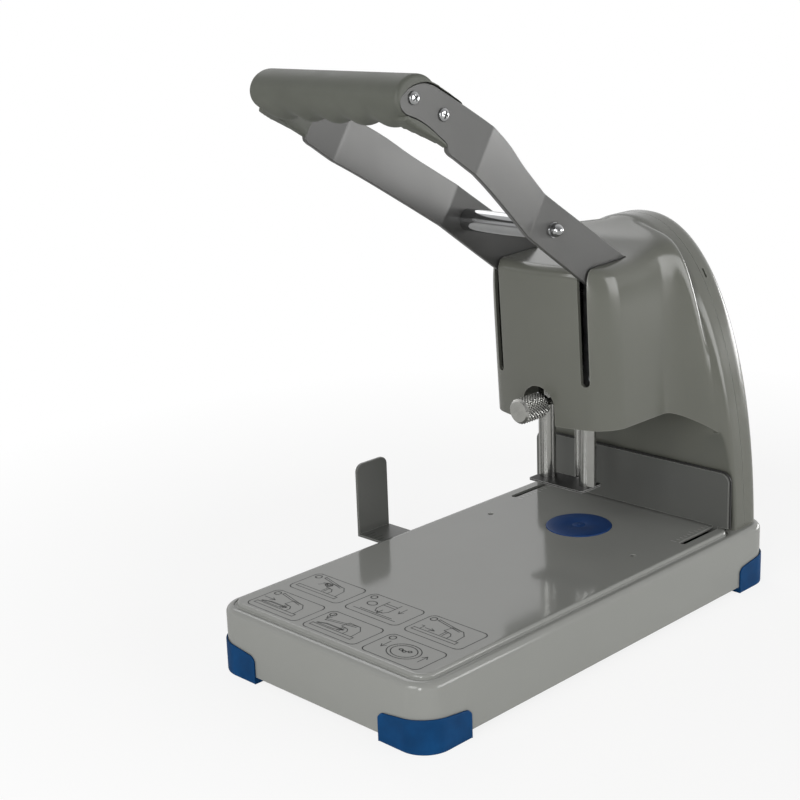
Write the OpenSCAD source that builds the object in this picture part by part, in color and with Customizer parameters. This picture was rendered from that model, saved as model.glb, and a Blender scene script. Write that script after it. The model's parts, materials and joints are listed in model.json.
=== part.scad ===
// Lever paper punch on a long table base: a single punch works straight down on a turning pad,
// a sprung presser holds the paper, and a back gauge and a side guide place it.
// Millimetres. X is across, Y runs to the back, Z is up. The origin is the point of the
// standing plane straight under the punch.

/* [Base] */
// Width of the base
base_w = 220; // [210:1:240]
// Distance from the punch forward to the front of the base
front_reach = 300; // [270:1:330]
// Corner radius of the base
corner_r = 21; // [16:1:26]
// Height of the skirt's lower edge above the standing plane
skirt_z = 4.8; // [4.6:0.1:7]
// Height of the rim above the standing plane
rim_z = 51.8; // [48:0.2:58]
// Height of the raised table above the rim
table_rise = 3; // [2:0.25:4]
// Distance of the raised table from the side of the base
table_inset = 8.5; // [7:0.25:11]
// Wall thickness of the base shell
shell_t = 3; // [2:0.25:3.5]
// Thickness of the floor pan
pan_t = 2; // [1.5:0.25:3]
// Radius of the bosses that take the floor screws
boss_r = 5.5; // [5:0.25:7]
// Distance of the floor screws from the sides of the base
screw_inset = 17; // [16:0.5:20]

/* [Feet] */
// Length of each leg of a corner foot
foot_leg = 46; // [40:1:56]
// Width of the sole of a corner foot
foot_sole = 28; // [27:0.5:34]
// Height of a foot at the corner
foot_corner_h = 28; // [26:0.5:34]
// Height of a foot at the ends of its legs
foot_end_h = 22; // [18:0.5:25]
// How far a foot stands proud of the skirt
foot_proud = 1.5; // [1:0.25:3]
// Chamfer on the upper corner at the ends of a foot's legs
foot_chamfer = 3; // [1:0.5:5]

/* [Floor screws] */
// Radius of a floor screw's shank
floor_screw_r = 2; // [1.5:0.25:2.5]
// Radius of a floor screw's head
floor_head_r = 4; // [3.5:0.25:4.5]
// Height of a floor screw's head
floor_head_h = 1.8; // [1.5:0.1:2]
// Depth of a floor screw in its boss
floor_screw_grip = 12; // [8:1:20]

/* [Pad] */
// Radius of the cutting pad
pad_r = 27.4; // [24:0.1:32]
// Thickness of the cutting pad
pad_t = 9; // [7:0.5:12]
// How far the pad stands above the table
pad_proud = 0.8; // [0.2:0.1:1.5]
// Wall of the seat round the pad
seat_wall = 4; // [3:0.5:6]
// Radius of the stud on which the pad turns
stud_r = 4; // [3:0.5:6]
// Height of the stud in the pad
stud_h = 5; // [3:0.5:6]

/* [Table] */
// Distance of the two locating holes from the side of the base
peg_inset = 34.8; // [30:0.1:42]
// Distance of the two locating holes in front of the punch
peg_front = 26; // [18:0.5:40]
// Radius of the locating holes
peg_r = 2.5; // [1.5:0.25:4]

/* [Back gauge] */
// Distance of the gauge's face behind the punch
gauge_y = 67; // [64:0.5:68]
// Thickness of the gauge plate
gauge_t = 2; // [1.5:0.25:3]
// Height of the gauge plate above the table
gauge_h = 48; // [36:0.5:60]
// Distance of the gauge's ends from the side of the base
gauge_inset = 8.5; // [8:0.25:12]
// Radius of the gauge's top corners
gauge_corner = 8; // [4:0.5:14]
// Travel of the gauge towards the front
gauge_travel = 45; // [30:0.5:46]
// Distance of the table slots from the side of the base
slot_inset = 20.6; // [19:0.1:24]
// Width of the gauge's tongues in the slots
tongue_w = 5; // [4:0.25:8]
// Width of a slider block
slider_w = 16; // [12:0.5:18]
// Depth of a slider block, front to rear
slider_d = 18; // [12:0.5:20]
// Height of a slider block
slider_h = 10; // [8:0.5:14]

/* [Side guide] */
// Distance of the guide's upright from the side of the base
guide_out = 29; // [28.5:0.5:40]
// Distance of the guide's rear edge in front of the punch
guide_front = 86; // [76:0.5:110]
// Width of the guide, front to rear
guide_w = 35; // [25:0.5:50]
// Height of the guide's top above the table
guide_h = 55; // [40:0.5:70]
// Thickness of the guide's strip
guide_t = 2; // [1.5:0.25:3]
// Radius of the guide's top corners
guide_corner = 7; // [3:0.5:12]
// Length of the guide's bar inside the base
guide_bar = 100; // [90:1:110]
// Travel of the guide outwards
guide_pull = 55; // [30:1:60]
// Travel of the guide inwards
guide_push = 28; // [20:0.5:28]
// Thickness of the rail under the guide's bar
rail_t = 3; // [2:0.5:5]

/* [Head] */
// Width of the head
head_w = 124; // [118:1:132]
// Reach of the head in front of the punch, measured at table height
head_reach = 44.4; // [42:0.2:50]
// Radius to which the head's face is bowed
bow_r = 130; // [110:1:300]
// Radius of the head's upright corners
head_corner = 18; // [10:0.5:24]
// Radius of the head's front top edge
head_edge = 8; // [4:0.5:12]
// Height of the head's lower edge
head_low = 155.8; // [152:0.2:162]
// Height of the head's top at the front
head_top = 284.8; // [283:0.2:292]
// Rise of the head's top towards the column before it sweeps up
head_rise = 4; // [2:0.25:8]
// Squareness of the head's section
head_square = 14; // [8:0.5:20]
// Distance behind the punch at which the head's sides start to flare
flare_y = 37; // [30:0.5:44]
// Power of the flare's curve
flare_power = 2.2; // [1.5:0.1:3]
// Radius of the notch round the clamp knob
notch_r = 16; // [13:0.5:18]
// Height of the lower end of the lever slots
slot_low = 191.3; // [186:0.1:194]
// Reach of the lever slots behind the punch
slot_back = 4; // [3.5:0.5:8]

/* [Column] */
// Distance of the column's sides from the side of the base
column_inset = 7.5; // [7:0.25:14]
// Height of the column's crown
column_top = 307.8; // [302:0.2:318]
// Roundness of the column's arch
column_round = 2.2; // [2:0.05:2.6]
// Forward lean of the head and column, in millimetres for each millimetre of height
lean = 0.056; // [0.04:0.002:0.06]
// Distance of the column's front ridge behind the punch, at table height
ridge_y = 76; // [75:0.5:78]
// Height at which the head's underside meets the ridge
ridge_low = 131.8; // [124:0.2:138]
// Depth of the band from the ridge to the seam
band_d = 14; // [10:0.5:18]
// Depth of the rear cover
rear_d = 24.5; // [24:0.5:30]
// Radius of the rear cover's edge
rear_edge = 14; // [8:0.5:16]
// Depth of the ledge of the base behind the column
ledge_d = 3; // [2:0.5:8]
// Wall thickness of the covers
cover_t = 3; // [2:0.25:3.5]
// Width of the seam between the covers
seam_gap = 0.4; // [0.2:0.1:0.8]
// Depth of the rear cover's lip inside the front cover
lip_d = 4; // [3:0.5:6]
// Thickness of that lip
lip_t = 1.5; // [1.2:0.1:2]

/* [Cover screws] */
// Distance of the cover screws from the frame plates
cover_screw_in = 13; // [12.5:0.5:16]
// Height of the upper cover screws
cover_screw_high = 240.8; // [239:0.2:246]
// Height of the lower cover screws
cover_screw_low = 103.8; // [88:0.2:128]
// Radius of a cover screw's shank
cover_screw_r = 2; // [1.5:0.25:2.5]
// Radius of a cover screw's head
cover_head_r = 4; // [3.5:0.25:5]
// Radius of the bosses inside the rear cover
cover_boss_r = 6; // [5.5:0.25:7]

/* [Frame] */
// Half of the space between the two frame plates
frame_half = 31; // [30.5:0.25:33]
// Thickness of a frame plate
frame_t = 5; // [4:0.25:6]
// Distance of the frame's front edge in front of the punch
frame_front = 32; // [28:0.5:34]
// Height of the frame's top
frame_top = 277.8; // [277:0.2:279.8]
// Gap between the column's front wall and the frame's legs
leg_gap = 1; // [0.5:0.25:2]
// Depth of the frame's legs, front to rear
leg_d = 20; // [18:0.5:20.5]
// Thickness of the foot plate under the frame
foot_plate_t = 4; // [3:0.25:6]
// Height of the foot plate's upstands
upstand_h = 26; // [20:0.5:34]
// Depth of a tie bar, front to rear
tie_d = 14; // [10:0.5:16]
// Height of a tie bar
tie_h = 12; // [10:0.5:14]
// Thickness of the guide block
guide_block_h = 16; // [12:0.5:20]
// Thickness of the bar above the presser springs
spring_bar_h = 5; // [3:0.5:6]
// Radius of the rod behind the pivot that takes the return springs
rest_rod_r = 5; // [4:0.25:6]
// Distance of that rod behind the pivot, along the lever
rest_rod_back = 22; // [20:0.5:24]
// Radius of the frame bolts
bolt_r = 3; // [2.5:0.25:4]
// Depth of the frame bolts behind the plates
bolt_grip = 9; // [6:0.5:12]
// Radius of the small bolts that hold the spring bar
bar_bolt_r = 1.25; // [0.75:0.25:1.25]

/* [Lever] */
// Distance of the lever's pivot behind the punch
pivot_y = 78; // [77:0.25:79]
// Height of the lever's pivot
pivot_z = 213.8; // [213:0.1:214.8]
// Angle of the lever above the level at rest
lever_rest = 33.3; // [32:0.1:34]
// Swing of the lever, in degrees
lever_swing = 33; // [28:0.5:34]
// Distance of each arm's middle from the middle of the head
arm_x = 43; // [42:0.25:44]
// Distance of each arm's middle from the middle at the grip
arm_grip_x = 69.3; // [60:0.1:80]
// Thickness of an arm
arm_t = 4; // [3:0.25:5]
// Half width of an arm at the head
arm_half = 19; // [17:0.25:20]
// Half width of an arm at its inner bend
arm_waist = 16.7; // [14:0.1:18]
// Height of the hump on an arm's upper edge
arm_hump = 22.5; // [20:0.25:25]
// Distance of the hump from the pivot
hump_u = 290; // [280:1:296]
// Distance of an arm's lower edge below its middle line at the grip
arm_low = 12.5; // [11:0.25:14]
// Distance of the inner bend from the pivot
bend_in = 217; // [210:1:224]
// Distance of the outer bend from the pivot
bend_out = 318; // [300:1:326]
// Distance of the middle of an arm's round end from the pivot
arm_end = 396; // [385:1:410]
// Height of that middle above the arm's middle line
arm_end_v = 0.7; // [0:0.1:2]
// Radius of the pivot shaft
pivot_r = 8; // [6:0.25:9]
// Wall of the lever's bushes
bush_wall = 2; // [1.5:0.25:3]
// Distance of the drive pin from the pivot
drive_r = 78; // [76:0.25:79]
// Radius of the drive pin
drive_pin_r = 4; // [3:0.25:4.5]
// Radius of the roller on the drive pin
roller_r = 7.5; // [6.5:0.25:8]
// Half width of the roller
roller_half = 10; // [8:0.5:11]
// Distance of the tie bolt from the pivot
tie_u = 194; // [185:1:205]
// Radius of the tie bolt
tie_bolt_r = 4; // [3:0.25:5]
// Radius of the spacer tube round the tie bolt
spacer_r = 8.5; // [7:0.25:10]
// Radius of a dome nut
dome_r = 7.5; // [6.5:0.25:9]
// Height of a dome nut's hexagon
dome_hex_h = 4; // [3:0.25:6]
// Thickness of the rings that hold the pivot shaft and the drive pin
ring_t = 1.5; // [1:0.25:2]

/* [Grip] */
// Distance of the grip's middle from the pivot
grip_u = 393.3; // [385:0.1:400]
// Height of the grip's middle above the arm's middle line
grip_v = 2; // [0:0.25:4]
// Half depth of the grip from front to back when the lever rests
grip_half_d = 18.5; // [17:0.25:21]
// Height of the grip above its middle when the lever rests
grip_up = 14.5; // [14:0.25:17]
// Depth of the grip below its middle when the lever rests
grip_down = 20; // [18:0.25:22]
// How far the grip's rim stands outside the arms
grip_rim = 1; // [0.5:0.25:2]
// Distance from the pivot at which the grip's cheeks end
cheek_end = 351; // [345:1:360]
// Distance of the cheeks' lower edge below the arm's middle line
cheek_low = 19.5; // [18:0.25:22]
// Width of a cheek where it leaves the grip
cheek_w = 18; // [12:0.5:24]
// Width of a cheek inside the arm at its tip
cheek_tip = 1.5; // [0.5:0.25:4]
// Number of finger hollows under the grip
finger_count = 4; // [3:1:5]
// Spacing of the finger hollows
finger_pitch = 26; // [20:0.5:28]
// Depth of the finger hollows
finger_depth = 3; // [1:0.25:4]
// Distance of the outer grip screw from the pivot
grip_screw_far = 395.5; // [390:0.5:400]
// Distance of the inner grip screw from the pivot
grip_screw_near = 366; // [362:0.5:374]
// Height of the inner grip screw above the arm's middle line
grip_screw_v = 4; // [0:0.25:6]
// Radius of a grip screw's shank
grip_screw_r = 2.4; // [1.5:0.1:3]
// Radius of a grip screw's head
grip_head_r = 4.4; // [3.5:0.1:5]

/* [Ram and punch] */
// Radius of the ram
ram_r = 11; // [10:0.25:12]
// Gap between the ram's head block and the collars on the posts
ram_block_gap = 0.4; // [0.2:0.1:0.8]
// Wall round the roller's slot
slot_wall = 3.5; // [3:0.25:4]
// Gap above and below the roller in its slot
slot_play = 1.2; // [1.1:0.05:1.5]
// Thickness of the crosshead that lifts the presser
crosshead_t = 5; // [4:0.25:6]
// Height of the ram's lower end above the head's lower edge
ram_tuck = 2.5; // [1:0.25:6]
// Radius of the punch's shank
shank_r = 6; // [5:0.25:7]
// Length of the punch's shank in the ram
shank_len = 25; // [20:0.5:26]
// Radius of the hole that the punch cuts
punch_r = 3; // [2:0.25:4]
// Depth of the hollow in the punch's end
punch_bore_d = 8; // [4:0.5:12]
// Wall of the punch's cutting edge
punch_wall = 0.8; // [0.5:0.1:1.2]
// Gap between the punch and the pad at the end of the stroke
tip_gap = 0.3; // [0.2:0.1:1]
// Gap between the ram's block and the guide block at the end of the stroke
stop_gap = 1.2; // [0.8:0.1:2]

/* [Clamp knob] */
// Height of the clamp knob at rest
knob_z = 170.8; // [169:0.2:171.8]
// Radius of the clamp knob
knob_r = 10.5; // [8:0.25:11]
// Length of the knurled part of the knob
knob_len = 30; // [22:0.5:32]
// Distance of the knob's face in front of the punch
knob_reach = 75; // [72:0.5:84]
// Radius of the knob's screw
knob_screw_r = 4; // [3:0.25:5]

/* [Presser] */
// Distance of each post from the frame plate beside it
post_in = 10.1; // [9.5:0.1:10.5]
// Distance of the posts in front of the punch
post_front = 14.6; // [14:0.1:15.5]
// Radius of the posts
post_r = 7.1; // [6:0.1:7.3]
// How far the presser plate reaches past the posts at each side
plate_rim = 0.2; // [0:0.1:4]
// Distance of the plate's front edge in front of the punch
plate_front = 31; // [24:0.5:40]
// Distance of the plate's rear edge in front of the punch
plate_back = 4.5; // [4.5:0.25:7]
// Thickness of the presser plate
plate_t = 1.6; // [1.2:0.1:3]
// Corner radius of the presser plate
plate_corner = 3; // [1:0.5:6]
// Gap between the plate and the pad at the end of the stroke
presser_gap = 0.3; // [0.2:0.1:2]
// How much less the presser travels than the punch
presser_lag = 1; // [0.5:0.1:1.2]
// Radius of the collars on the posts
collar_r = 9; // [8.5:0.1:9.2]
// Thickness of the collars
collar_t = 2.7; // [2:0.1:3]

/* [Springs] */
// Radius of the presser springs' wire
press_wire_r = 0.8; // [0.5:0.1:0.9]
// Turns of a presser spring
press_turns = 6; // [4:1:7]
// Radius of the return springs' wire
return_wire_r = 1.5; // [1:0.1:1.8]
// Turns of a return spring
return_turns = 4; // [2:1:5]
// Distance of the return springs from the middle
return_x = 20; // [19:0.5:21]

/* [Fits] */
// Radial gap of shafts and pins that turn or slide
run_gap = 0.05; // [0.02:0.01:0.1]
// Gap of pieces that are pushed or screwed together
fit_gap = 0.05; // [0.02:0.01:0.1]
// Gap between pieces that pass or seat loosely
loose_gap = 0.3; // [0.2:0.05:0.4]
// Gap round the gauge, guide and lever in their slots
slide_gap = 0.5; // [0.4:0.05:0.8]
// Gap beside the arms in the head's slots
arm_gap = 1.5; // [1:0.1:2]
// Gap round the drive pin in the frame's windows
window_gap = 3; // [1.5:0.25:4]

/* [Hidden] */
$fn = 64;

// Length by which a cut runs past the face that it opens
past = 1;
// Shares of a shaft's radius left in a ring's groove and reached by the ring
groove_share = 0.8;
ring_share = 1.4;
// Shares of a bolt's radius, a dome nut's radius and the finger spacing
bolt_head = 1.7;
dome_share = 0.86;
hollow_share = 0.6;
// Points round the grip's section and in one turn of a spring
oval_steps = 60;
turn_steps = 12;
// Share of the flare behind which the head is closed below
open_share = 0.7;

// Base
base_half = base_w / 2;
front_y = -front_reach;
seam_y = ridge_y + band_d;
rear_y = seam_y + rear_d;
base_rear = rear_y + ledge_d;
table_z = rim_z + table_rise;
roof_z = rim_z - shell_t;
pan_z = skirt_z + pan_t;
foot_plate_z = pan_z + foot_plate_t;
table_half = base_half - table_inset;
table_front = front_y + table_inset;
table_back = ridge_y - cover_t;
screw_front = front_y + screw_inset;
screw_rear = base_rear - screw_inset;
screw_x = base_half - screw_inset;

// Frame and lever
frame_out = frame_half + frame_t;
cover_screw_x = frame_half - cover_screw_in;
post_x = frame_half - post_in;
plate_half = post_x + post_r + plate_rim;
leg_y = ridge_y + cover_t + leg_gap;
leg_back = leg_y + leg_d;
pin_y = pivot_y - drive_r * cos(lever_rest);
pin_z = pivot_z + drive_r * sin(lever_rest);
pin_end_y = pivot_y - drive_r * cos(lever_rest - lever_swing);
stroke = drive_r * (sin(lever_rest) - sin(lever_rest - lever_swing));
arm_in = arm_x - arm_t / 2;
arm_out = arm_x + arm_t / 2;
arm_grip_in = arm_grip_x - arm_t / 2;
arm_grip_out = arm_grip_x + arm_t / 2;
bush_r = pivot_r + run_gap + bush_wall;
bush_end = arm_out + past;
shaft_end = bush_end + loose_gap + 2 * ring_t;
pin_end = arm_out + loose_gap + 2 * ring_t;

// Ram, guide block and presser
slot_front = pin_end_y - roller_r - slide_gap;
slot_rear = pin_y + roller_r + slide_gap;
slot_floor = pin_z - roller_r - slot_play;
slot_roof = pin_z + roller_r + slot_play;
block_low = slot_floor - slot_wall;
block_top = slot_roof + slot_wall;
guide_top = block_low - stroke - stop_gap;
guide_low = guide_top - guide_block_h;
ram_low = head_low + ram_tuck;
pad_top = table_z + pad_proud;
tip_z = pad_top + tip_gap + stroke;
presser_travel = stroke - presser_lag;
plate_low = pad_top + presser_gap + presser_travel;
plate_top = plate_low + plate_t;
crosshead_low = block_low + loose_gap;
crosshead_top = crosshead_low + crosshead_t;
crosshead_half = post_x + post_r + slot_wall / 2;
ram_block_half = post_x - collar_r - ram_block_gap;
collar_low = crosshead_top + loose_gap;
collar_top = collar_low + collar_t;
post_top = collar_top + past;
spring_bar_low = frame_top - spring_bar_h;
press_coil_r = (post_r + collar_r) / 2 + press_wire_r / 2;

// Covers
column_half = base_half - column_inset;
column_h = column_top - table_z;
head_half = head_w / 2;
head_y = -head_reach;
knob_y = -knob_reach;
slot_half = arm_t / 2 + arm_gap;
ring_n = 14;
corner_steps = [0, 25, 50, 90];
face_steps = [0.12, 0.4, 0.7];
flare_steps = [0, 0.2, 0.4, 0.6, 0.8, 0.92, 1];
edge_steps = [0, 25, 50, 70, 90];
square_power = 2.5;

// Return springs, in the lever's own frame
return_coil_r = pivot_r + return_wire_r * 2;
return_low = -return_coil_r;
return_pin_v = -drive_pin_r - return_wire_r - loose_gap / 2;
rest_v = return_low + return_wire_r + rest_rod_r + loose_gap / 2;
rest_y = pivot_y + rest_rod_back * cos(lever_rest) + rest_v * sin(lever_rest);
rest_z = pivot_z - rest_rod_back * sin(lever_rest) + rest_v * cos(lever_rest);

grey = "#8e8f8b";
dark_grey = "#6c6d68";
head_grey = "#7b7c74";
blue = "#164a80";
steel = "#b9bcbf";
zinc = "#9a9da0";

echo(pin_y = pin_y, pin_z = pin_z, stroke = stroke, presser_travel = presser_travel);
echo(tip_z = tip_z, plate_low = plate_low, guide_low = guide_low, guide_top = guide_top);
echo(base_rear = base_rear, block_low = block_low, block_top = block_top, post_top = post_top);

// Shapes that repeat

module pair() {
    children();
    mirror([1, 0, 0]) children();
}

module round_rect(x0, x1, y0, y1, r) {
    translate([x0 + r, y0]) square([x1 - x0 - 2 * r, y1 - y0]);
    translate([x0, y0 + r]) square([x1 - x0, y1 - y0 - 2 * r]);
    for (x = [x0 + r, x1 - r], y = [y0 + r, y1 - r]) {
        translate([x, y]) circle(r);
    }
}

module round_block(x0, x1, y0, y1, r, z0, z1) {
    translate([0, 0, z0]) linear_extrude(z1 - z0) round_rect(x0, x1, y0, y1, r);
}

module top_rounded(x0, x1, z0, z1, r) {
    round_rect(x0, x1, z0, z1, r);
    translate([x0, z0]) square([x1 - x0, 2 * r]);
}

module box(x0, x1, y0, y1, z0, z1) {
    translate([x0, y0, z0]) cube([x1 - x0, y1 - y0, z1 - z0]);
}

module rod_z(x, y, r, z0, z1) {
    translate([x, y, z0]) cylinder(r = r, h = z1 - z0);
}

module rod_x(y, z, r, x0, x1) {
    translate([x0, y, z]) rotate([0, 90, 0]) cylinder(r = r, h = x1 - x0);
}

module rod_y(x, z, r, y0, y1) {
    translate([x, y0, z]) rotate([-90, 0, 0]) cylinder(r = r, h = y1 - y0);
}

module side_shape(x0, x1) {
    translate([x0, 0, 0]) rotate([90, 0, 90]) linear_extrude(x1 - x0) children();
}

module in_lever() {
    translate([0, pivot_y, pivot_z]) rotate([-lever_rest, 0, 0]) children();
}

// A tube swept along points, with its rings squared to the line and to one given direction
function unit(v) = v / norm(v);
function tube_ring(path, i, r, side, sides) = let(
        before = path[max(0, i - 1)],
        after = path[min(len(path) - 1, i + 1)],
        along = unit(after - before),
        across = unit(cross(along, side)),
        up = cross(across, along))
    [for (k = [0 : sides - 1]) path[i] + r * (cos(360 * k / sides) * across + sin(360 * k / sides) * up)];

module tube(path, r, side, sides = 6) {
    count = len(path);
    points = [for (i = [0 : count - 1]) each tube_ring(path, i, r, side, sides)];
    walls = [for (i = [0 : count - 2], k = [0 : sides - 1]) let(
            a = i * sides + k,
            b = i * sides + (k + 1) % sides)
        each [[a, b, b + sides], [a, b + sides, a + sides]]];
    last = (count - 1) * sides;
    start_cap = [for (k = [1 : sides - 2]) [0, k + 1, k]];
    end_cap = [for (k = [1 : sides - 2]) [last, last + k, last + k + 1]];
    polyhedron(points, concat(walls, start_cap, end_cap), convexity = 10);
}

// A closed skin through rings of points that each run from one foot over the top to the other
module loft(rings) {
    m = len(rings[0]);
    count = len(rings);
    half = (m - 1) / 2;
    points = [for (r = rings) each r];
    walls = [for (k = [0 : count - 2], i = [0 : m - 1]) let(
            a = k * m + i,
            b = k * m + (i + 1) % m)
        each [[a, b, b + m], [a, b + m, a + m]]];
    front = [for (i = [0 : half - 1]) let(j = m - 1 - i)
        each i < half - 1 ? [[i, j, j - 1], [i, j - 1, i + 1]] : [[i, j, i + 1]]];
    top = (count - 1) * m;
    back = [for (i = [0 : half - 1]) let(j = m - 1 - i)
        each i < half - 1 ? [[top + i, top + j - 1, top + j], [top + i, top + i + 1, top + j - 1]]
            : [[top + i, top + i + 1, top + j]]];
    polyhedron(points, concat(walls, front, back), convexity = 10);
}

// Half width of an arch of half width a, height h and power n at height z
function arch_x(a, h, n, z) = a * pow(1 - pow(max(0, z - table_z) / h, n), 1 / n);

// One ring of the covers: foot, arch and foot, as pairs of x and z
function arch(a, h, n, low) = let(
        start = asin(pow(max(0, low - table_z) / h, n / 2)))
    [for (i = [0 : 2 * ring_n]) let(
            angle = start + (180 - 2 * start) * i / (2 * ring_n),
            side = sign(ring_n - i))
        i == 0 || i == 2 * ring_n
            ? [side * arch_x(a, h, n, low), low]
            : [side * a * pow(abs(cos(angle)), 2 / n), table_z + h * pow(sin(angle), 2 / n)]];

// A ring set at depth y, bowed and leaning as the covers are
function place(ring, y, bow) =
    [for (p = ring) [p[0], y + bow * p[0] * p[0] / (2 * bow_r) - lean * (p[1] - table_z), p[1]]];

// Height of the head's crown over the rim of the arch at depth y
function crown(y) = let(
        front = head_top - table_z,
        sweep = max(0, (y - head_y) / (ridge_y - head_y)))
    front + head_rise * sweep
        + (column_h - front - head_rise) * pow(max(0, (y - slot_back) / (ridge_y - slot_back)), 2);

// Share of the way from the head's section to the column's at depth y
function flare_share(y) = min(1, max(0, (y - flare_y) / (ridge_y - flare_y)));
function flare(y) = pow(flare_share(y), flare_power);

function head_x(y) = head_half + (column_half - head_half) * flare(y);
function head_n(y) = column_round + (head_square - column_round) * pow(1 - flare(y), square_power);
function hood_low(y) = head_low - (head_low - ridge_low) * pow(flare_share(y), 2);

// Rings of the head's face, corner, side and flare, drawn in by t and with feet lowered by drop
function face_ring(t, drop, s) = let(
        mid = (head_low + head_top) / 2,
        ring = arch(head_half - head_corner - t, crown(head_y) - head_edge - t, head_square, head_low - drop))
    place([for (p = ring) [p[0] * s, mid + (p[1] - mid) * s]], head_y + t, 1);

function corner_ring(t, drop, angle) = let(
        depth = head_corner * (1 - cos(angle)),
        fall = max(0, head_edge - depth),
        a = head_half - head_corner * (1 - sin(angle)) - t,
        h = crown(head_y + depth) - head_edge + sqrt(head_edge * head_edge - fall * fall) - t)
    place(arch(a, h, head_square, head_low - drop), head_y + depth + t, 1);

function flare_ring(t, drop, y) =
    place(arch(head_x(y - t) - t, crown(y) - t, head_n(y), hood_low(y) - drop), y, 0);

function head_rings(t, drop) = concat(
    [for (s = face_steps) face_ring(t, drop, s)],
    [for (angle = corner_steps) corner_ring(t, drop, angle)],
    [for (s = flare_steps) flare_ring(t, s < open_share ? drop : -t, flare_y + (ridge_y - flare_y) * s)]);

function column_ring(t, low, y) = place(arch(column_half - t, column_h - t, column_round, low), y, 0);

// Base

module base_shell() {
    color(grey) difference() {
        union() {
            difference() {
                round_block(-base_half, base_half, front_y, base_rear, corner_r, skirt_z, rim_z);
                round_block(-base_half + shell_t, base_half - shell_t, front_y + shell_t,
                    base_rear - shell_t, corner_r - shell_t, skirt_z - past, roof_z);
            }
            round_block(-table_half, table_half, table_front, table_back, corner_r - table_inset,
                rim_z - past, table_z);
            for (y = [screw_front, screw_rear]) {
                pair() rod_z(screw_x, y, boss_r, pan_z, rim_z - past);
            }
        }
        for (y = [screw_front, screw_rear]) {
            pair() rod_z(screw_x, y, floor_screw_r + fit_gap, pan_z - past, pan_z + floor_screw_grip + past);
        }
        rod_z(0, 0, pad_r + loose_gap, roof_z - past, table_z + past);
        pair() rod_z(base_half - peg_inset, -peg_front, peg_r, roof_z - past, table_z + past);
        pair() gauge_slot();
        pair() box(frame_half - loose_gap, frame_out + loose_gap, leg_y - loose_gap, leg_back + loose_gap,
            roof_z - past, rim_z + past);
        box(-base_half - past, -base_half + shell_t + past, -guide_front - guide_w - slide_gap,
            -guide_front + slide_gap, bar_low() - slide_gap, bar_low() + guide_t + slide_gap);
    }
}

function bar_low() = roof_z - slide_gap - guide_t;

module gauge_slot() {
    x = base_half - slot_inset;
    r = tongue_w / 2 + slide_gap;
    y0 = gauge_y - gauge_travel;
    y1 = gauge_y + gauge_t;
    box(x - r, x + r, y0, y1, roof_z - past, table_z + past);
    rod_z(x, y0, r, roof_z - past, table_z + past);
    rod_z(x, y1, r, roof_z - past, table_z + past);
}

module base_pan() {
    edge = shell_t + loose_gap;
    color(zinc) difference() {
        round_block(-base_half + edge, base_half - edge, front_y + edge, base_rear - edge,
            corner_r - edge, skirt_z, pan_z);
        for (y = [screw_front, screw_rear]) {
            pair() rod_z(screw_x, y, floor_screw_r + loose_gap, skirt_z - past, pan_z + past);
        }
    }
}

// A corner foot at the right-hand front corner, moved and mirrored to the others
module corner_foot() {
    far = base_half + foot_proud;
    slope = atan((foot_corner_h - foot_end_h) * sqrt(2) / foot_leg);
    difference() {
        intersection() {
            round_block(-far, far, front_y - foot_proud, -front_y, corner_r + foot_proud, 0, foot_corner_h);
            box(far - foot_leg, far, front_y - foot_proud, front_y - foot_proud + foot_leg, 0, foot_corner_h);
        }
        round_block(-base_half - fit_gap, base_half + fit_gap, front_y - fit_gap, -front_y,
            corner_r + fit_gap, skirt_z, foot_corner_h + past);
        box(-far, far - foot_sole, front_y - foot_proud + foot_sole, 0, -past, foot_corner_h);
        rod_z(screw_x, screw_front, floor_screw_r + loose_gap, -past, skirt_z + past);
        rod_z(screw_x, screw_front, floor_head_r + loose_gap, -past, skirt_z - floor_head_h);
        translate([far, front_y - foot_proud, foot_corner_h]) rotate([0, 0, 135]) rotate([0, slope, 0])
            translate([-foot_leg, -2 * foot_leg, 0]) cube([4 * foot_leg, 4 * foot_leg, foot_corner_h]);
        foot_end_cuts(far);
    }
}

// What is cut away to chamfer the upper corner at the end of each leg
module foot_end_cuts(far) {
    end_x = far - foot_leg;
    end_y = front_y - foot_proud + foot_leg;
    low = foot_end_h - foot_chamfer;
    translate([end_x, end_y, low]) rotate([0, -45, 0]) translate([-foot_leg, -2 * foot_leg, 0])
        cube([2 * foot_leg, 2 * foot_leg, foot_leg]);
    translate([far, end_y, low]) rotate([-45, 0, 0]) translate([-foot_leg, -foot_leg, 0])
        cube([2 * foot_leg, 2 * foot_leg, foot_leg]);
}

module rear_foot() {
    translate([0, base_rear + front_y, 0]) mirror([0, 1, 0]) corner_foot();
}

module front_right_foot() {
    color(blue) corner_foot();
}

module front_left_foot() {
    color(blue) mirror([1, 0, 0]) corner_foot();
}

module rear_right_foot() {
    color(blue) rear_foot();
}

module rear_left_foot() {
    color(blue) mirror([1, 0, 0]) rear_foot();
}

module floor_screws() {
    head_z = skirt_z - floor_head_h;
    color(steel) for (y = [screw_front, screw_rear]) {
        pair() {
            rod_z(screw_x, y, floor_screw_r, head_z, pan_z + floor_screw_grip);
            rod_z(screw_x, y, floor_head_r, head_z - floor_head_h, head_z);
        }
    }
}

// Frame

module frame_foot() {
    front = -pad_r - seat_wall;
    color(zinc) difference() {
        union() {
            box(-frame_out, frame_out, front, leg_back, pan_z, foot_plate_z);
            pair() box(frame_half - frame_t, frame_half, leg_y, leg_back, foot_plate_z - past,
                foot_plate_z + upstand_h);
        }
        foot_bolts(run_gap);
    }
}

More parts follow.
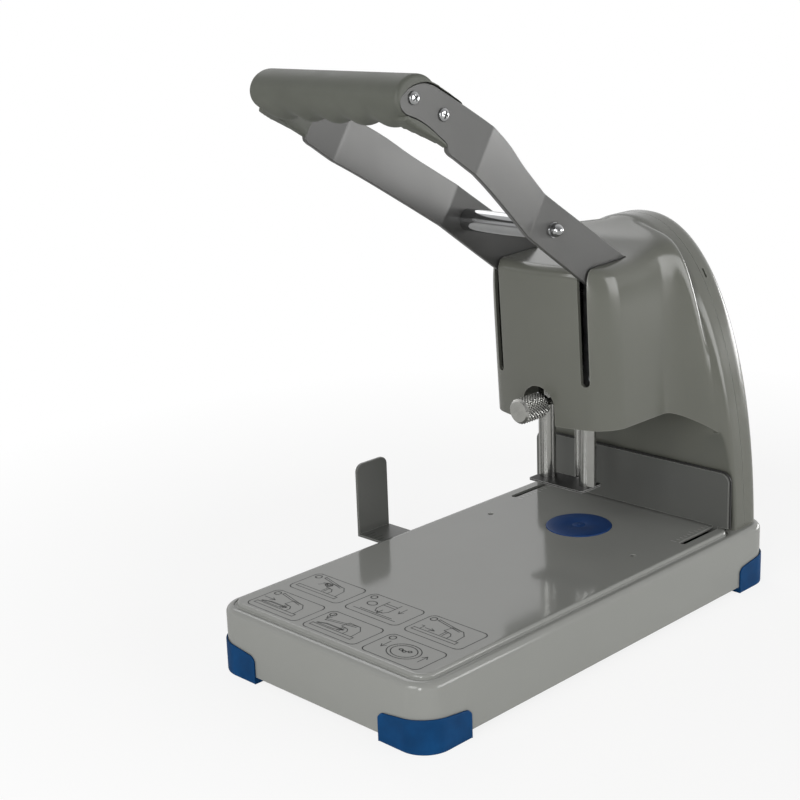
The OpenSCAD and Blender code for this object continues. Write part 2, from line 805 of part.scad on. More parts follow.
// Side view of a frame plate: a leg, an arm over the table and a window for the drive pin
module frame_side() {
    throat_z = guide_low;
    slant = leg_d;
    window_front = pin_end_y - drive_pin_r - window_gap;
    window_rear = pin_y + drive_pin_r + window_gap;
    window_low = pin_z - stroke - drive_pin_r - window_gap;
    window_top = pin_z + drive_pin_r + window_gap;
    difference() {
        polygon([[leg_y, foot_plate_z], [leg_back, foot_plate_z], [leg_back, pivot_z],
            [pivot_y + arm_half - ring_t, frame_top], [-frame_front, frame_top], [-frame_front, throat_z],
            [leg_y - slant, throat_z], [leg_y, throat_z - slant]]);
        translate([window_front, window_low]) square([window_rear - window_front, window_top - window_low]);
    }
}

module frame_plate() {
    color(zinc) difference() {
        side_shape(frame_half, frame_out) frame_side();
        rod_x(pivot_y, pivot_z, pivot_r + fit_gap, frame_half - past, frame_out + past);
        rod_x(rest_y, rest_z, rest_rod_r / 2 + fit_gap, frame_half - past, frame_out + past);
        foot_bolts(fit_gap);
        tie_bolts(fit_gap);
        guide_bolts(fit_gap);
    }
}

module right_frame_plate() {
    frame_plate();
}

module left_frame_plate() {
    mirror([1, 0, 0]) frame_plate();
}

// Bolts through the frame plates, or with a gap the holes that they pass through
module frame_bolt(y, z, r, gap) {
    pair() {
        rod_x(y, z, r + gap, frame_half - bolt_grip - gap, frame_out + r / 2);
        if (gap == 0) {
            rod_x(y, z, r * bolt_head, frame_out, frame_out + r);
        }
    }
}

module foot_bolts(gap) {
    mid = foot_plate_z + upstand_h / 2;
    frame_bolt(leg_y + leg_d / 3, mid - upstand_h / 5, bolt_r, gap);
    frame_bolt(leg_back - leg_d / 3, mid + upstand_h / 5, bolt_r, gap);
}

module tie_bolts(gap) {
    for (z = [cover_screw_low, cover_screw_high]) {
        frame_bolt(leg_back - tie_d / 2, z, bolt_r, gap);
    }
}

module guide_bolts(gap) {
    mid = (guide_low + guide_top) / 2;
    frame_bolt(-frame_front + 2 * bolt_r, mid, bolt_r, gap);
    frame_bolt(ram_r + 2 * bolt_r, mid, bolt_r, gap);
    frame_bolt(-post_front, frame_top - spring_bar_h / 2, bar_bolt_r, gap);
}

module frame_bolts() {
    color(steel) {
        foot_bolts(0);
        tie_bolts(0);
        guide_bolts(0);
    }
}

module frame_ties() {
    color(zinc) difference() {
        for (z = [cover_screw_low, cover_screw_high]) {
            box(-frame_half, frame_half, leg_back - tie_d, leg_back, z - tie_h / 2, z + tie_h / 2);
        }
        tie_bolts(fit_gap);
        cover_screw_rods(fit_gap);
    }
}

module guide_block() {
    color(zinc) difference() {
        box(-frame_half, frame_half, -frame_front, ram_r + 4 * bolt_r, guide_low, guide_top);
        rod_z(0, 0, ram_r + run_gap, guide_low - past, guide_top + past);
        pair() rod_z(post_x, -post_front, post_r + run_gap, guide_low - past, guide_top + past);
        guide_bolts(fit_gap);
    }
}

module spring_bar() {
    color(zinc) difference() {
        box(-frame_half, frame_half, -post_front - collar_r, -post_front + collar_r, spring_bar_low,
            frame_top);
        guide_bolts(fit_gap);
    }
}

module rest_rod() {
    color(steel) {
        rod_x(rest_y, rest_z, rest_rod_r, -frame_half, frame_half);
        rod_x(rest_y, rest_z, rest_rod_r / 2, -frame_out, frame_out);
    }
}

module ring_groove(y, z, r, x, width) {
    pair() difference() {
        rod_x(y, z, r + past, x, x + width);
        rod_x(y, z, r * groove_share, x - past, x + width + past);
    }
}

module pivot_shaft() {
    color(steel) difference() {
        rod_x(pivot_y, pivot_z, pivot_r, -shaft_end, shaft_end);
        ring_groove(pivot_y, pivot_z, pivot_r, bush_end + loose_gap, ring_t);
    }
}

module retaining_rings(y, z, r, x) {
    pair() difference() {
        rod_x(y, z, r * ring_share, x + fit_gap, x + ring_t - fit_gap);
        rod_x(y, z, r * groove_share + fit_gap, x - past, x + ring_t + past);
    }
}

module pivot_rings() {
    color(steel) retaining_rings(pivot_y, pivot_z, pivot_r, bush_end + loose_gap);
}

module pad_seat() {
    seat_r = pad_r + seat_wall;
    floor_z = pad_top - pad_t;
    color(zinc) {
        difference() {
            rod_z(0, 0, seat_r, foot_plate_z, roof_z);
            rod_z(0, 0, pad_r + loose_gap, floor_z - run_gap, roof_z + past);
        }
        rod_z(0, 0, stud_r, floor_z - past, floor_z + stud_h);
    }
}

module cutting_pad() {
    floor_z = pad_top - pad_t;
    color(blue) difference() {
        rod_z(0, 0, pad_r, floor_z, pad_top);
        rod_z(0, 0, stud_r + run_gap, floor_z - past, floor_z + stud_h + run_gap);
    }
}

// Gauges

module guide_rail() {
    inner = guide_bar - guide_pull;
    y0 = -guide_front - guide_w - slide_gap;
    y1 = -guide_front + slide_gap;
    floor_z = bar_low() - slide_gap / 2;
    color(zinc) difference() {
        box(-base_half + shell_t, -base_half + inner, y0 - rail_t, y1 + rail_t, floor_z - rail_t, roof_z);
        box(-base_half, base_half, y0, y1, floor_z, roof_z + past);
    }
}

module side_guide() {
    x = -base_half - guide_out;
    z = bar_low();
    top = table_z + guide_h;
    color(grey) {
        box(x - guide_t, -base_half + guide_bar, -guide_front - guide_w, -guide_front, z, z + guide_t);
        side_shape(x - guide_t, x) top_rounded(-guide_front - guide_w, -guide_front, z, top, guide_corner);
    }
}

module back_gauge() {
    half = base_half - gauge_inset;
    slot_x = base_half - slot_inset;
    color(grey) translate([0, gauge_y + gauge_t, 0]) rotate([90, 0, 0]) linear_extrude(gauge_t) {
        top_rounded(-half, half, pad_top + loose_gap, table_z + gauge_h, gauge_corner);
        for (x = [-slot_x, slot_x]) {
            translate([x - tongue_w / 2, slider_low()]) square([tongue_w, pad_top - slider_low() + past]);
        }
    }
}

function slider_low() = roof_z - slide_gap - slider_h;

module gauge_slider() {
    x = base_half - slot_inset;
    mid = gauge_y + gauge_t / 2;
    slack = fit_gap;
    difference() {
        box(x - slider_w / 2, x + slider_w / 2, mid - slider_d / 2, mid + slider_d / 2, slider_low(),
            slider_low() + slider_h);
        box(x - tongue_w / 2 - slack, x + tongue_w / 2 + slack, gauge_y - slack, gauge_y + gauge_t + slack,
            slider_low() - past, roof_z);
    }
}

module right_gauge_slider() {
    color(dark_grey) gauge_slider();
}

module left_gauge_slider() {
    color(dark_grey) mirror([1, 0, 0]) gauge_slider();
}

// Covers

module front_cover() {
    color(head_grey) difference() {
        union() {
            loft(concat(head_rings(0, 0), [column_ring(0, ridge_low, seam_y)]));
            loft([column_ring(0, rim_z, ridge_y), column_ring(0, rim_z, seam_y)]);
        }
        loft(concat(head_rings(cover_t, 2 * cover_t),
            [column_ring(cover_t, ridge_low + cover_t, seam_y + past)]));
        loft([column_ring(cover_t, rim_z - past, ridge_y + cover_t),
            column_ring(cover_t, rim_z - past, seam_y + past)]);
        pair() lever_slot();
        knob_notch();
    }
}

module lever_slot() {
    back = slot_back;
    front = head_y - 2 * head_corner;
    box(arm_x - slot_half, arm_x + slot_half, front, back, slot_low + slot_half, column_top);
    rod_y(arm_x, slot_low + slot_half, slot_half, front, head_y + 2 * head_corner);
}

module knob_notch() {
    front = head_y - 2 * head_corner;
    rod_y(0, knob_z, notch_r, front, head_y + head_corner);
    box(-notch_r, notch_r, front, head_y + head_corner, head_low - past, knob_z);
}

// Edge of the rear cover, drawn in as it turns over to the back
function rear_ring(t, low, angle) =
    column_ring(t + rear_edge * (1 - cos(angle)), low, rear_y - t - rear_edge * (1 - sin(angle)));

module rear_cover() {
    lip = cover_t + loose_gap;
    lip_root = seam_y + lip_d;
    color(head_grey) difference() {
        union() {
            difference() {
                union() {
                    loft(concat([column_ring(0, rim_z, seam_y + seam_gap)],
                        [for (angle = edge_steps) rear_ring(0, rim_z, angle)]));
                    loft([column_ring(lip, rim_z, seam_y - lip_d), column_ring(lip, rim_z, lip_root)]);
                }
                loft([column_ring(lip + lip_t, rim_z - past, seam_y - lip_d - past),
                    column_ring(lip + lip_t, rim_z - past, lip_root)]);
                loft(concat([column_ring(cover_t, rim_z - past, lip_root - past)],
                    [for (angle = edge_steps) rear_ring(cover_t, rim_z - past, angle)]));
            }
            cover_bosses();
        }
        cover_screw_rods(loose_gap);
    }
}

function cover_wall_y(z) = rear_y - lean * (z - table_z);

module cover_bosses() {
    for (x = [-cover_screw_x, cover_screw_x], z = [cover_screw_low, cover_screw_high]) {
        rod_y(x, z, cover_boss_r, leg_back + loose_gap, cover_wall_y(z) - past);
    }
}

module cover_screw_rods(gap) {
    for (x = [-cover_screw_x, cover_screw_x], z = [cover_screw_low, cover_screw_high]) {
        rod_y(x, z, cover_screw_r + gap, leg_back - tie_d / 2, cover_wall_y(z) + cover_t);
    }
}

module cover_screws() {
    color(steel) for (x = [-cover_screw_x, cover_screw_x], z = [cover_screw_low, cover_screw_high]) {
        seat = cover_wall_y(z) + lean * cover_head_r + loose_gap;
        rod_y(x, z, cover_screw_r, leg_back - tie_d / 2, seat);
        rod_y(x, z, cover_head_r, seat, seat + cover_screw_r);
    }
}

// Lever

module arm_side(grow) {
    circle(arm_half + grow);
    translate([-arm_end, arm_end_v]) circle(arm_end_v + arm_low + grow);
    polygon([[0, arm_half + grow], [-bend_in / 2, arm_half + grow], [-bend_in, arm_waist + grow],
        [-(bend_in + hump_u) / 2, (arm_waist + arm_hump) / 2 - past + grow], [-hump_u, arm_hump + grow],
        [-bend_out, arm_hump - past + grow], [-arm_end, 2 * arm_end_v + arm_low + grow],
        [-arm_end, -arm_low - grow], [-bend_out, -arm_low - grow], [-bend_in, -arm_waist - grow],
        [-bend_in / 2, -arm_half - grow], [0, -arm_half - grow]]);
}

// Plan of an arm: straight in the head, bent out to the grip and straight again
module arm_plan() {
    reach = arm_end + 2 * arm_half;
    polygon([[arm_in, 2 * arm_half], [arm_out, 2 * arm_half], [arm_out, -bend_in], [arm_grip_out, -bend_out],
        [arm_grip_out, -reach], [arm_grip_in, -reach], [arm_grip_in, -bend_out], [arm_in, -bend_in]]);
}

module arm() {
    color(dark_grey) in_lever() difference() {
        intersection() {
            side_shape(0, arm_grip_x * 2) arm_side(0);
            translate([0, 0, -2 * arm_half]) linear_extrude(4 * arm_half) arm_plan();
        }
        rod_x(0, 0, bush_r + fit_gap, arm_in - past, arm_out + past);
        rod_x(-drive_r, 0, drive_pin_r + fit_gap, arm_in - past, arm_out + past);
        rod_x(-tie_u, 0, tie_bolt_r + fit_gap, arm_in - past, arm_out + past);
        grip_screw_rods(fit_gap);
    }
}

module right_arm() {
    arm();
}

module left_arm() {
    mirror([1, 0, 0]) arm();
}

module lever_bushes() {
    color("#b59a5a") in_lever() pair() difference() {
        union() {
            rod_x(0, 0, bush_r, frame_out + loose_gap, bush_end);
            rod_x(0, 0, bush_r + bush_wall, frame_out + loose_gap, arm_in);
        }
        rod_x(0, 0, pivot_r + run_gap, frame_out, bush_end + past);
    }
}

module drive_pin() {
    color(steel) difference() {
        rod_x(pin_y, pin_z, drive_pin_r, -pin_end, pin_end);
        ring_groove(pin_y, pin_z, drive_pin_r, arm_out + loose_gap, ring_t);
    }
}

module pin_rings() {
    color(steel) retaining_rings(pin_y, pin_z, drive_pin_r, arm_out + loose_gap);
}

module drive_roller() {
    color(steel) difference() {
        rod_x(pin_y, pin_z, roller_r, -roller_half, roller_half);
        rod_x(pin_y, pin_z, drive_pin_r + run_gap, -roller_half - past, roller_half + past);
    }
}

module spacer_tube() {
    color(steel) in_lever() difference() {
        rod_x(-tie_u, 0, spacer_r, -arm_in, arm_in);
        rod_x(-tie_u, 0, tie_bolt_r + fit_gap, -arm_x, arm_x);
    }
}

module tie_bolt() {
    color(steel) in_lever() rod_x(-tie_u, 0, tie_bolt_r, -arm_out - dome_hex_h, arm_out + dome_hex_h);
}

module dome_nuts() {
    color(steel) in_lever() pair() difference() {
        union() {
            translate([arm_out, -tie_u, 0]) rotate([0, 90, 0]) cylinder(r = dome_r, h = dome_hex_h, $fn = 6);
            intersection() {
                translate([arm_out + dome_hex_h / 2, -tie_u, 0]) sphere(dome_r * dome_share);
                rod_x(-tie_u, 0, dome_r, arm_out + dome_hex_h / 2, arm_out + 2 * dome_r);
            }
        }
        rod_x(-tie_u, 0, tie_bolt_r + fit_gap, arm_out - past, arm_out + dome_hex_h + fit_gap);
    }
}

module grip_screw_rods(gap) {
    pair() {
        rod_x(-grip_screw_far, 0, grip_screw_r + gap, arm_grip_in - cheek_w / 2, arm_grip_out + gap);
        rod_x(-grip_screw_near, grip_screw_v, grip_screw_r + gap, arm_grip_in - cheek_w / 2,
            arm_grip_out + gap);
    }
}

module grip_screws() {
    color(steel) in_lever() {
        grip_screw_rods(0);
        pair() {
            rod_x(-grip_screw_far, 0, grip_head_r, arm_grip_out, arm_grip_out + grip_screw_r);
            rod_x(-grip_screw_near, grip_screw_v, grip_head_r, arm_grip_out, arm_grip_out + grip_screw_r);
        }
    }
}

module cheek_side() {
    polygon([[-arm_end, 2 * arm_end_v + arm_low], [-cheek_end, 2 * arm_end_v + arm_low],
        [-cheek_end, -arm_low - fit_gap], [-cheek_end - cheek_w, -(arm_low + cheek_low) / 2],
        [-arm_end, -cheek_low]]);
}

module cheek_plan(half) {
    polygon([[half, -cheek_end], [arm_grip_in - cheek_tip, -cheek_end],
        [half - cheek_w, -arm_end + grip_half_d / 2], [half - cheek_w, -arm_end], [half, -arm_end]]);
}

module cheek(half) {
    intersection() {
        side_shape(half - cheek_w, half) cheek_side();
        translate([0, 0, -2 * cheek_low]) linear_extrude(4 * cheek_low) cheek_plan(half);
    }
}

// Section of the grip: an oval, deeper below its middle than above it
function grip_oval() = [for (i = [0 : oval_steps - 1]) let(turn = 360 * i / oval_steps)
    [grip_half_d * cos(turn), (sin(turn) > 0 ? grip_up : grip_down) * sin(turn)]];

module grip() {
    half = arm_grip_out + grip_rim;
    hollow_r = finger_pitch * hollow_share;
    color("#666860") in_lever() difference() {
        union() {
            side_shape(-half, half) translate([-grip_u, grip_v]) rotate(lever_rest) polygon(grip_oval());
            pair() cheek(half);
        }
        pair() side_shape(arm_grip_in - fit_gap, half + past) arm_side(fit_gap);
        for (i = [0 : finger_count - 1]) {
            x = (i - (finger_count - 1) / 2) * finger_pitch;
            translate([x, -grip_u, grip_v]) rotate([lever_rest, 0, 0])
                translate([0, 2 * grip_half_d, finger_depth - grip_down - hollow_r]) rotate([90, 0, 0])
                    cylinder(r = hollow_r, h = 4 * grip_half_d);
        }
        grip_screw_rods(fit_gap);
    }
}

// Springs

// Path of a return spring: a leg under the drive pin, turns round the shaft and a leg under the rod
function return_path(x) = let(
        pitch = 2 * return_wire_r + loose_gap,
        steps = return_turns * turn_steps,
        leg_past = 2 * drive_pin_r,
        leg_slope = (return_pin_v - return_low) / drive_r)
    concat(
        [[x - pitch * return_turns / 2, -drive_r - leg_past, return_pin_v + leg_slope * leg_past]],
        [for (i = [0 : steps]) let(turn = 360 * return_turns * i / steps)
            [x + pitch * (i / steps - 0.5) * return_turns,
                return_coil_r * sin(turn), return_low * cos(turn)]],
        [[x + pitch * return_turns / 2, rest_rod_back + rest_rod_r, return_low]]);

module return_spring(x) {
    color(zinc) in_lever() tube(return_path(x), return_wire_r, [1, 0, 0]);
}

module right_return_spring() {
    return_spring(return_x);
}

module left_return_spring() {
    mirror([1, 0, 0]) return_spring(return_x);
}

function press_path(x) = let(
        steps = press_turns * turn_steps,
        low = collar_top + press_wire_r + run_gap,
        high = spring_bar_low - press_wire_r - run_gap)
    [for (i = [0 : steps]) let(turn = 360 * press_turns * i / steps)
        [x + press_coil_r * cos(turn), -post_front + press_coil_r * sin(turn),
            low + (high - low) * i / steps]];

module presser_spring(x) {
    color(zinc) tube(press_path(x), press_wire_r, [0, 0, 1]);
}

module right_presser_spring() {
    presser_spring(post_x);
}

module left_presser_spring() {
    mirror([1, 0, 0]) presser_spring(post_x);
}

// Ram and punch

module ram() {
    color(steel) difference() {
        union() {
            rod_z(0, 0, ram_r, ram_low, block_low + past);
            box(-ram_block_half, ram_block_half, slot_front - slot_wall, slot_rear + slot_wall, block_low,
                block_top);
            box(-crosshead_half, crosshead_half, -post_front - collar_r, slot_front - slot_wall + past,
                crosshead_low, crosshead_top);
        }
        box(-ram_block_half - past, ram_block_half + past, slot_front, slot_rear, slot_floor, slot_roof);
        pair() rod_z(post_x, -post_front, post_r + run_gap, crosshead_low - past, crosshead_top + past);
        rod_z(0, 0, shank_r + fit_gap, ram_low - past, ram_low + shank_len);
        rod_y(0, knob_z, knob_screw_r + run_gap, -ram_r - past, 0);
    }
}

module punch() {
    color(steel) difference() {
        union() {
            rod_z(0, 0, shank_r, ram_low, ram_low + shank_len - fit_gap);
            rod_z(0, 0, punch_r, tip_z, ram_low + past);
        }
        rod_z(0, 0, punch_r - punch_wall, tip_z - past, tip_z + punch_bore_d);
    }
}

module clamp_knob() {
    color(steel) {
        rod_y(0, knob_z, knob_r, knob_y, knob_y + knob_len);
        rod_y(0, knob_z, knob_screw_r, knob_y + knob_len - past, -shank_r - run_gap);
    }
}

// Presser

module post() {
    color(steel) rod_z(post_x, -post_front, post_r, plate_top, post_top);
}

module right_post() {
    post();
}

module left_post() {
    mirror([1, 0, 0]) post();
}

module presser_plate() {
    color(steel) round_block(-plate_half, plate_half, -plate_front, -plate_back, plate_corner,
        plate_low, plate_top);
}

module post_collars() {
    color(zinc) pair() difference() {
        rod_z(post_x, -post_front, collar_r, collar_low, collar_top);
        rod_z(post_x, -post_front, post_r + fit_gap, collar_low - past, collar_top + past);
    }
}

base_shell();
base_pan();
front_left_foot();
front_right_foot();
rear_left_foot();
rear_right_foot();
floor_screws();
frame_foot();
left_frame_plate();
right_frame_plate();
frame_ties();
frame_bolts();
guide_block();
spring_bar();
rest_rod();
pivot_shaft();
pivot_rings();
pad_seat();
guide_rail();
front_cover();
rear_cover();
cover_screws();
left_arm();
right_arm();
lever_bushes();
drive_pin();
drive_roller();
pin_rings();
spacer_tube();
tie_bolt();
dome_nuts();
grip();
grip_screws();
left_return_spring();
right_return_spring();
ram();
punch();
clamp_knob();
left_post();
right_post();
presser_plate();
post_collars();
left_presser_spring();
right_presser_spring();
back_gauge();
left_gauge_slider();
right_gauge_slider();
side_guide();
cutting_pad();
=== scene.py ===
# %% [markdown]
# # A lever paper punch, dressed over its CAD frame
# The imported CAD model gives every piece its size, its place and the body that it moves with.
# This lesson adds what CAD leaves plain: rounded edges, moulded forms, knurls, screws, print
# and the finishes of enamel, steel, rubber and plastic.

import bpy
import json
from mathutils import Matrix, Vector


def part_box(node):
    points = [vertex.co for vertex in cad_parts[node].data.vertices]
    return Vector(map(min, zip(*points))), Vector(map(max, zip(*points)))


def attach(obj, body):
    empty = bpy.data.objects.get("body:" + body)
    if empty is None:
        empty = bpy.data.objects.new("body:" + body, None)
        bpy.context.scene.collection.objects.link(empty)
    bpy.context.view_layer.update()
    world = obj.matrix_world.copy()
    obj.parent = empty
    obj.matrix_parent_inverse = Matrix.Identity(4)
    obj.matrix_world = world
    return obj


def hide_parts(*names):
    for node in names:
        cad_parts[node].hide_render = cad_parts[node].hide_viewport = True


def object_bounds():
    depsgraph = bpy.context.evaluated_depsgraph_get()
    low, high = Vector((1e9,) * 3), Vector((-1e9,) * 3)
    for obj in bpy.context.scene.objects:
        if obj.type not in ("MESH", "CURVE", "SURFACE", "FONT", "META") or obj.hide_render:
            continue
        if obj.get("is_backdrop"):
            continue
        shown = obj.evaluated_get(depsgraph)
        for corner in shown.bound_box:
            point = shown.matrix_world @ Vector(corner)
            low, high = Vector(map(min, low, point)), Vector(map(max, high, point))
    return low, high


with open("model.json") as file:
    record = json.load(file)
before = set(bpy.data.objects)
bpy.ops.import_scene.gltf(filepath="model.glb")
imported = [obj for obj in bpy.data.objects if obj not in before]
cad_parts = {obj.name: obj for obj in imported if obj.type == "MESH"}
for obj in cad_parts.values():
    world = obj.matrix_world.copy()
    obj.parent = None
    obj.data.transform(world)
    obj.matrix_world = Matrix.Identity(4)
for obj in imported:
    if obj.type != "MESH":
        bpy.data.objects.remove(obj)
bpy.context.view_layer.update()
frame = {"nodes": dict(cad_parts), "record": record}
nodes = frame["nodes"]

# %% [markdown]
# ## Camera
# The photograph is a square product shot from the front right, a little above the table. Its camera
# was worked out from the straight edges of the base, so the place, the turn and the lens are written
# here as they were found. The roll is small, but without it the uprights lean the wrong way.

# %% Camera
import math

import bpy
from mathutils import Matrix, Vector

MM = 0.001
yaw, pitch, roll = 0.7937, 0.2766, -0.0367
camera_place = Vector((769.46, -960.81, 516.21)) * MM
focal_pixels, image_pixels = 1557.79, 800

ahead = Vector((-math.sin(yaw) * math.cos(pitch), math.cos(yaw) * math.cos(pitch), -math.sin(pitch)))
level = Vector((math.cos(yaw), math.sin(yaw), 0))
upright = level.cross(ahead)
right = level * math.cos(roll) + upright * math.sin(roll)
up = upright * math.cos(roll) - level * math.sin(roll)

lens = bpy.data.cameras.new("photo_camera")
lens.sensor_width = 36
lens.lens = focal_pixels * lens.sensor_width / image_pixels
lens.clip_start, lens.clip_end = 0.05, 200
camera = bpy.data.objects.new("photo_camera", lens)
camera.matrix_world = Matrix.Translation(camera_place) @ Matrix((right, up, -ahead)).transposed().to_4x4()
bpy.context.scene.collection.objects.link(camera)
bpy.context.scene.camera = camera
print("camera: lens", round(lens.lens, 1), "mm at", [round(c, 3) for c in camera_place], "m")

# %% [markdown]
# ## Colours and nodes
# A finish is easiest to judge in the colours of a screen, so each one is written as an sRGB hex code
# and turned to the linear values that Blender mixes. One small function adds a node, sets it and links
# it, and `per_metre` turns the real size of a pattern in millimetres into a texture scale.

# %% Colour and node helpers
def linear(code):
    """Linear colour of an sRGB hex code."""
    parts = [int(code[i:i + 2], 16) / 255 for i in (1, 3, 5)]
    return [c / 12.92 if c <= 0.04045 else ((c + 0.055) / 1.055) ** 2.4 for c in parts] + [1]


def add(tree, kind, inputs=(), **settings):
    """A node with its settings, and with values or links on its inputs."""
    node = tree.nodes.new(kind)
    for name, value in settings.items():
        setattr(node, name, value)
    for name, value in dict(inputs).items():
        if isinstance(value, bpy.types.NodeSocket):
            tree.links.new(value, node.inputs[name])
        else:
            node.inputs[name].default_value = value
    return node


def per_metre(size):
    """Texture scale of a pattern whose spots are this many millimetres wide."""
    return 1 / (size * MM)


def empty_material(name):
    """A material with no nodes yet, and its tree."""
    made = bpy.data.materials.new(name)
    made.use_nodes = True
    made.node_tree.nodes.clear()
    return made, made.node_tree


print("mid grey #808080 is", round(linear("#808080")[0], 3), "in linear light")

# %% [markdown]
# Every finish is built from the same few nodes, so each of those gets a short function: a noise, a value
# moved from one range to another, a mix of two colours, and the surface with its bump that ends a finish.

# %% Parts of a finish
def noise(tree, place, size, detail):
    """Noise with spots that are this many millimetres wide."""
    return add(tree, "ShaderNodeTexNoise", {
        "Vector": place, "Scale": per_metre(size), "Detail": detail}).outputs[0]


def spread(tree, value, start=0, end=1, low=0, high=1):
    """A value between start and end, moved to lie between low and high."""
    return add(tree, "ShaderNodeMapRange", {
        "Value": value, "From Min": start, "From Max": end, "To Min": low, "To Max": high}).outputs[0]


def mix(tree, share, first, second):
    """A colour that turns from the first to the second as the share grows."""
    return add(tree, "ShaderNodeMix", {0: share, 6: first, 7: second}, data_type="RGBA").outputs[2]


def surface(tree, colour, roughness, height, depth, strength, more):
    """The end of a finish, with a bump whose depth is in millimetres."""
    bump = add(tree, "ShaderNodeBump", {"Strength": strength, "Distance": depth * MM, "Height": height})
    shader = add(tree, "ShaderNodeBsdfPrincipled", {
        "Base Color": colour, "Roughness": roughness, "Normal": bump.outputs[0], **more})
    add(tree, "ShaderNodeOutputMaterial", {"Surface": shader.outputs[0]})


finishes = {}
print("parts:", ", ".join(part.__name__ for part in (noise, spread, mix, surface)))

# %% [markdown]
# ## Paint
# The base, the covers, the arms and the gauge are painted steel. Sprayed paint is never quite even: it
# is a shade lighter here and there, it dries with a faint orange-peel ripple, hands leave it duller in
# places, and it wears thin on the edges. One function builds those four things, and each paint gives it
# its own colour, gloss and ripple. The ripple of real paint is a millimetre or two wide. The edges are
# found by a bevel node: near them the paint turns to a lighter edge colour, which is wear on these four
# paints and a painted highlight on the presser plate below.
# A picture of old paint could be laid over the steel instead, but it would have to be unwrapped on every
# piece, and noise stays sharp from close by.

# %% Paint
cloud_wide, smear_wide, wear_and_glint_round = 70, 22, 1.2


def paint(name, colour, shade, edge_wear_and_glint, roughness, peel, depth, flake=0):
    """A sprayed paint. The peel and its depth are in millimetres, and flake is the share of metal in it."""
    made, tree = empty_material(name)
    place = add(tree, "ShaderNodeTexCoord").outputs["Object"]
    tone = mix(tree, noise(tree, place, cloud_wide, 2), linear(shade), linear(colour))
    rounded = add(tree, "ShaderNodeBevel", {"Radius": wear_and_glint_round * MM}, samples=4).outputs[0]
    plain = add(tree, "ShaderNodeNewGeometry").outputs["Normal"]
    same = add(tree, "ShaderNodeVectorMath", {0: rounded, 1: plain}, operation="DOT_PRODUCT").outputs["Value"]
    # the edge colour is wear on the enamels and a painted highlight on the presser plate
    coat = mix(tree, spread(tree, same, 0.99, 0.8, 0, 0.5), tone, linear(edge_wear_and_glint))
    smear = noise(tree, place, smear_wide, 1)
    gloss = spread(tree, smear, 0.3, 0.7, roughness * 0.96, roughness * 1.06)
    surface(tree, coat, gloss, noise(tree, place, peel, 1), depth, 0.5, {"Metallic": flake, "IOR": 1.5})
    return made


print("a paint is clouded over", cloud_wide, "mm and worn to", wear_and_glint_round, "mm from an edge")

# %% [markdown]
# The base is stove enamel: sprayed, baked hard and glossy, so that it mirrors the head and the posts at
# a low angle. The covers carry the same enamel a little greener and softer in gloss. The arms are satin
# powder coat, which melts from grains and so keeps a short, dull ripple; aluminium flake in it makes each
# flat of the bent arm light up or darken as a whole. The gauge is a thin satin coat.

# %% Four paints
for slot, *recipe in (
        ("table_enamel", "stove_enamel_gloss_grey", "#8D8E8A", "#888985", "#B5B6B1", 0.11, 3.2, 0.012),
        ("head_enamel", "stove_enamel_hood_grey", "#65665F", "#5F6059", "#8E8F88", 0.18, 2.6, 0.02),
        ("arm_enamel", "powder_coat_satin_dark_grey", "#585857", "#545453", "#80807C", 0.3, 1.6, 0.004, 0.45),
        ("gauge_enamel", "stove_enamel_satin_grey", "#585956", "#545552", "#A0A19D", 0.34, 1.6, 0.008)):
    finishes[slot] = paint(*recipe)
print("paints:", ", ".join(finishes))

# %% [markdown]
# ## Metal
# Bare and plated metal shows how it was worked. A ground post has fine rings round it, drawn wire has
# long streaks, and a zinc coat is clouded. All of them come from one noise that is stretched along the
# direction of the work, a little in the roughness and a little in the bump. Real grinding lines are a
# few hundredths of a millimetre apart; here they are drawn about ten times as coarse, so that they show.
# The hollows of a knurl, which the pointiness of the mesh finds, are darkened: painted shade, together with
# the oil and dust that stay there.
# An anisotropic shader could draw such lines too, but it needs tangents, and a stretched noise does not.

# %% Metal
tarnish_wide, tarnish = 9, 0.82


def metal(name, colour, roughness, grain, stretch, depth, hollow_shade=0):
    """A worked metal. The grain is in millimetres, drawn out along x, y and z; hollow_shade darkens its
    hollows with painted shade, together with oil and dust.
    """
    made, tree = empty_material(name)
    place = add(tree, "ShaderNodeTexCoord").outputs["Object"]
    drawn = add(tree, "ShaderNodeMapping", {"Vector": place, "Scale": [1 / s for s in stretch]}).outputs[0]
    lines = noise(tree, drawn, grain, 3)
    gloss = spread(tree, lines, 0.3, 0.7, roughness * 0.7, roughness * 1.35)
    dull = [c * tarnish for c in linear(colour)[:3]] + [1]
    tone = mix(tree, noise(tree, place, tarnish_wide, 3), dull, linear(colour))
    point = add(tree, "ShaderNodeNewGeometry").outputs["Pointiness"]
    # painted shade in the hollows, together with their oil and dust
    shaded_hollows = mix(tree, spread(tree, point, 0.4, 0.52, 1 - hollow_shade), linear("#2A2A28"), tone)
    surface(tree, shaded_hollows, gloss, lines, depth, 0.4, {"Metallic": 1})
    return made


print("a metal is tarnished in patches of", tarnish_wide, "mm, down to", tarnish, "of its brightness")
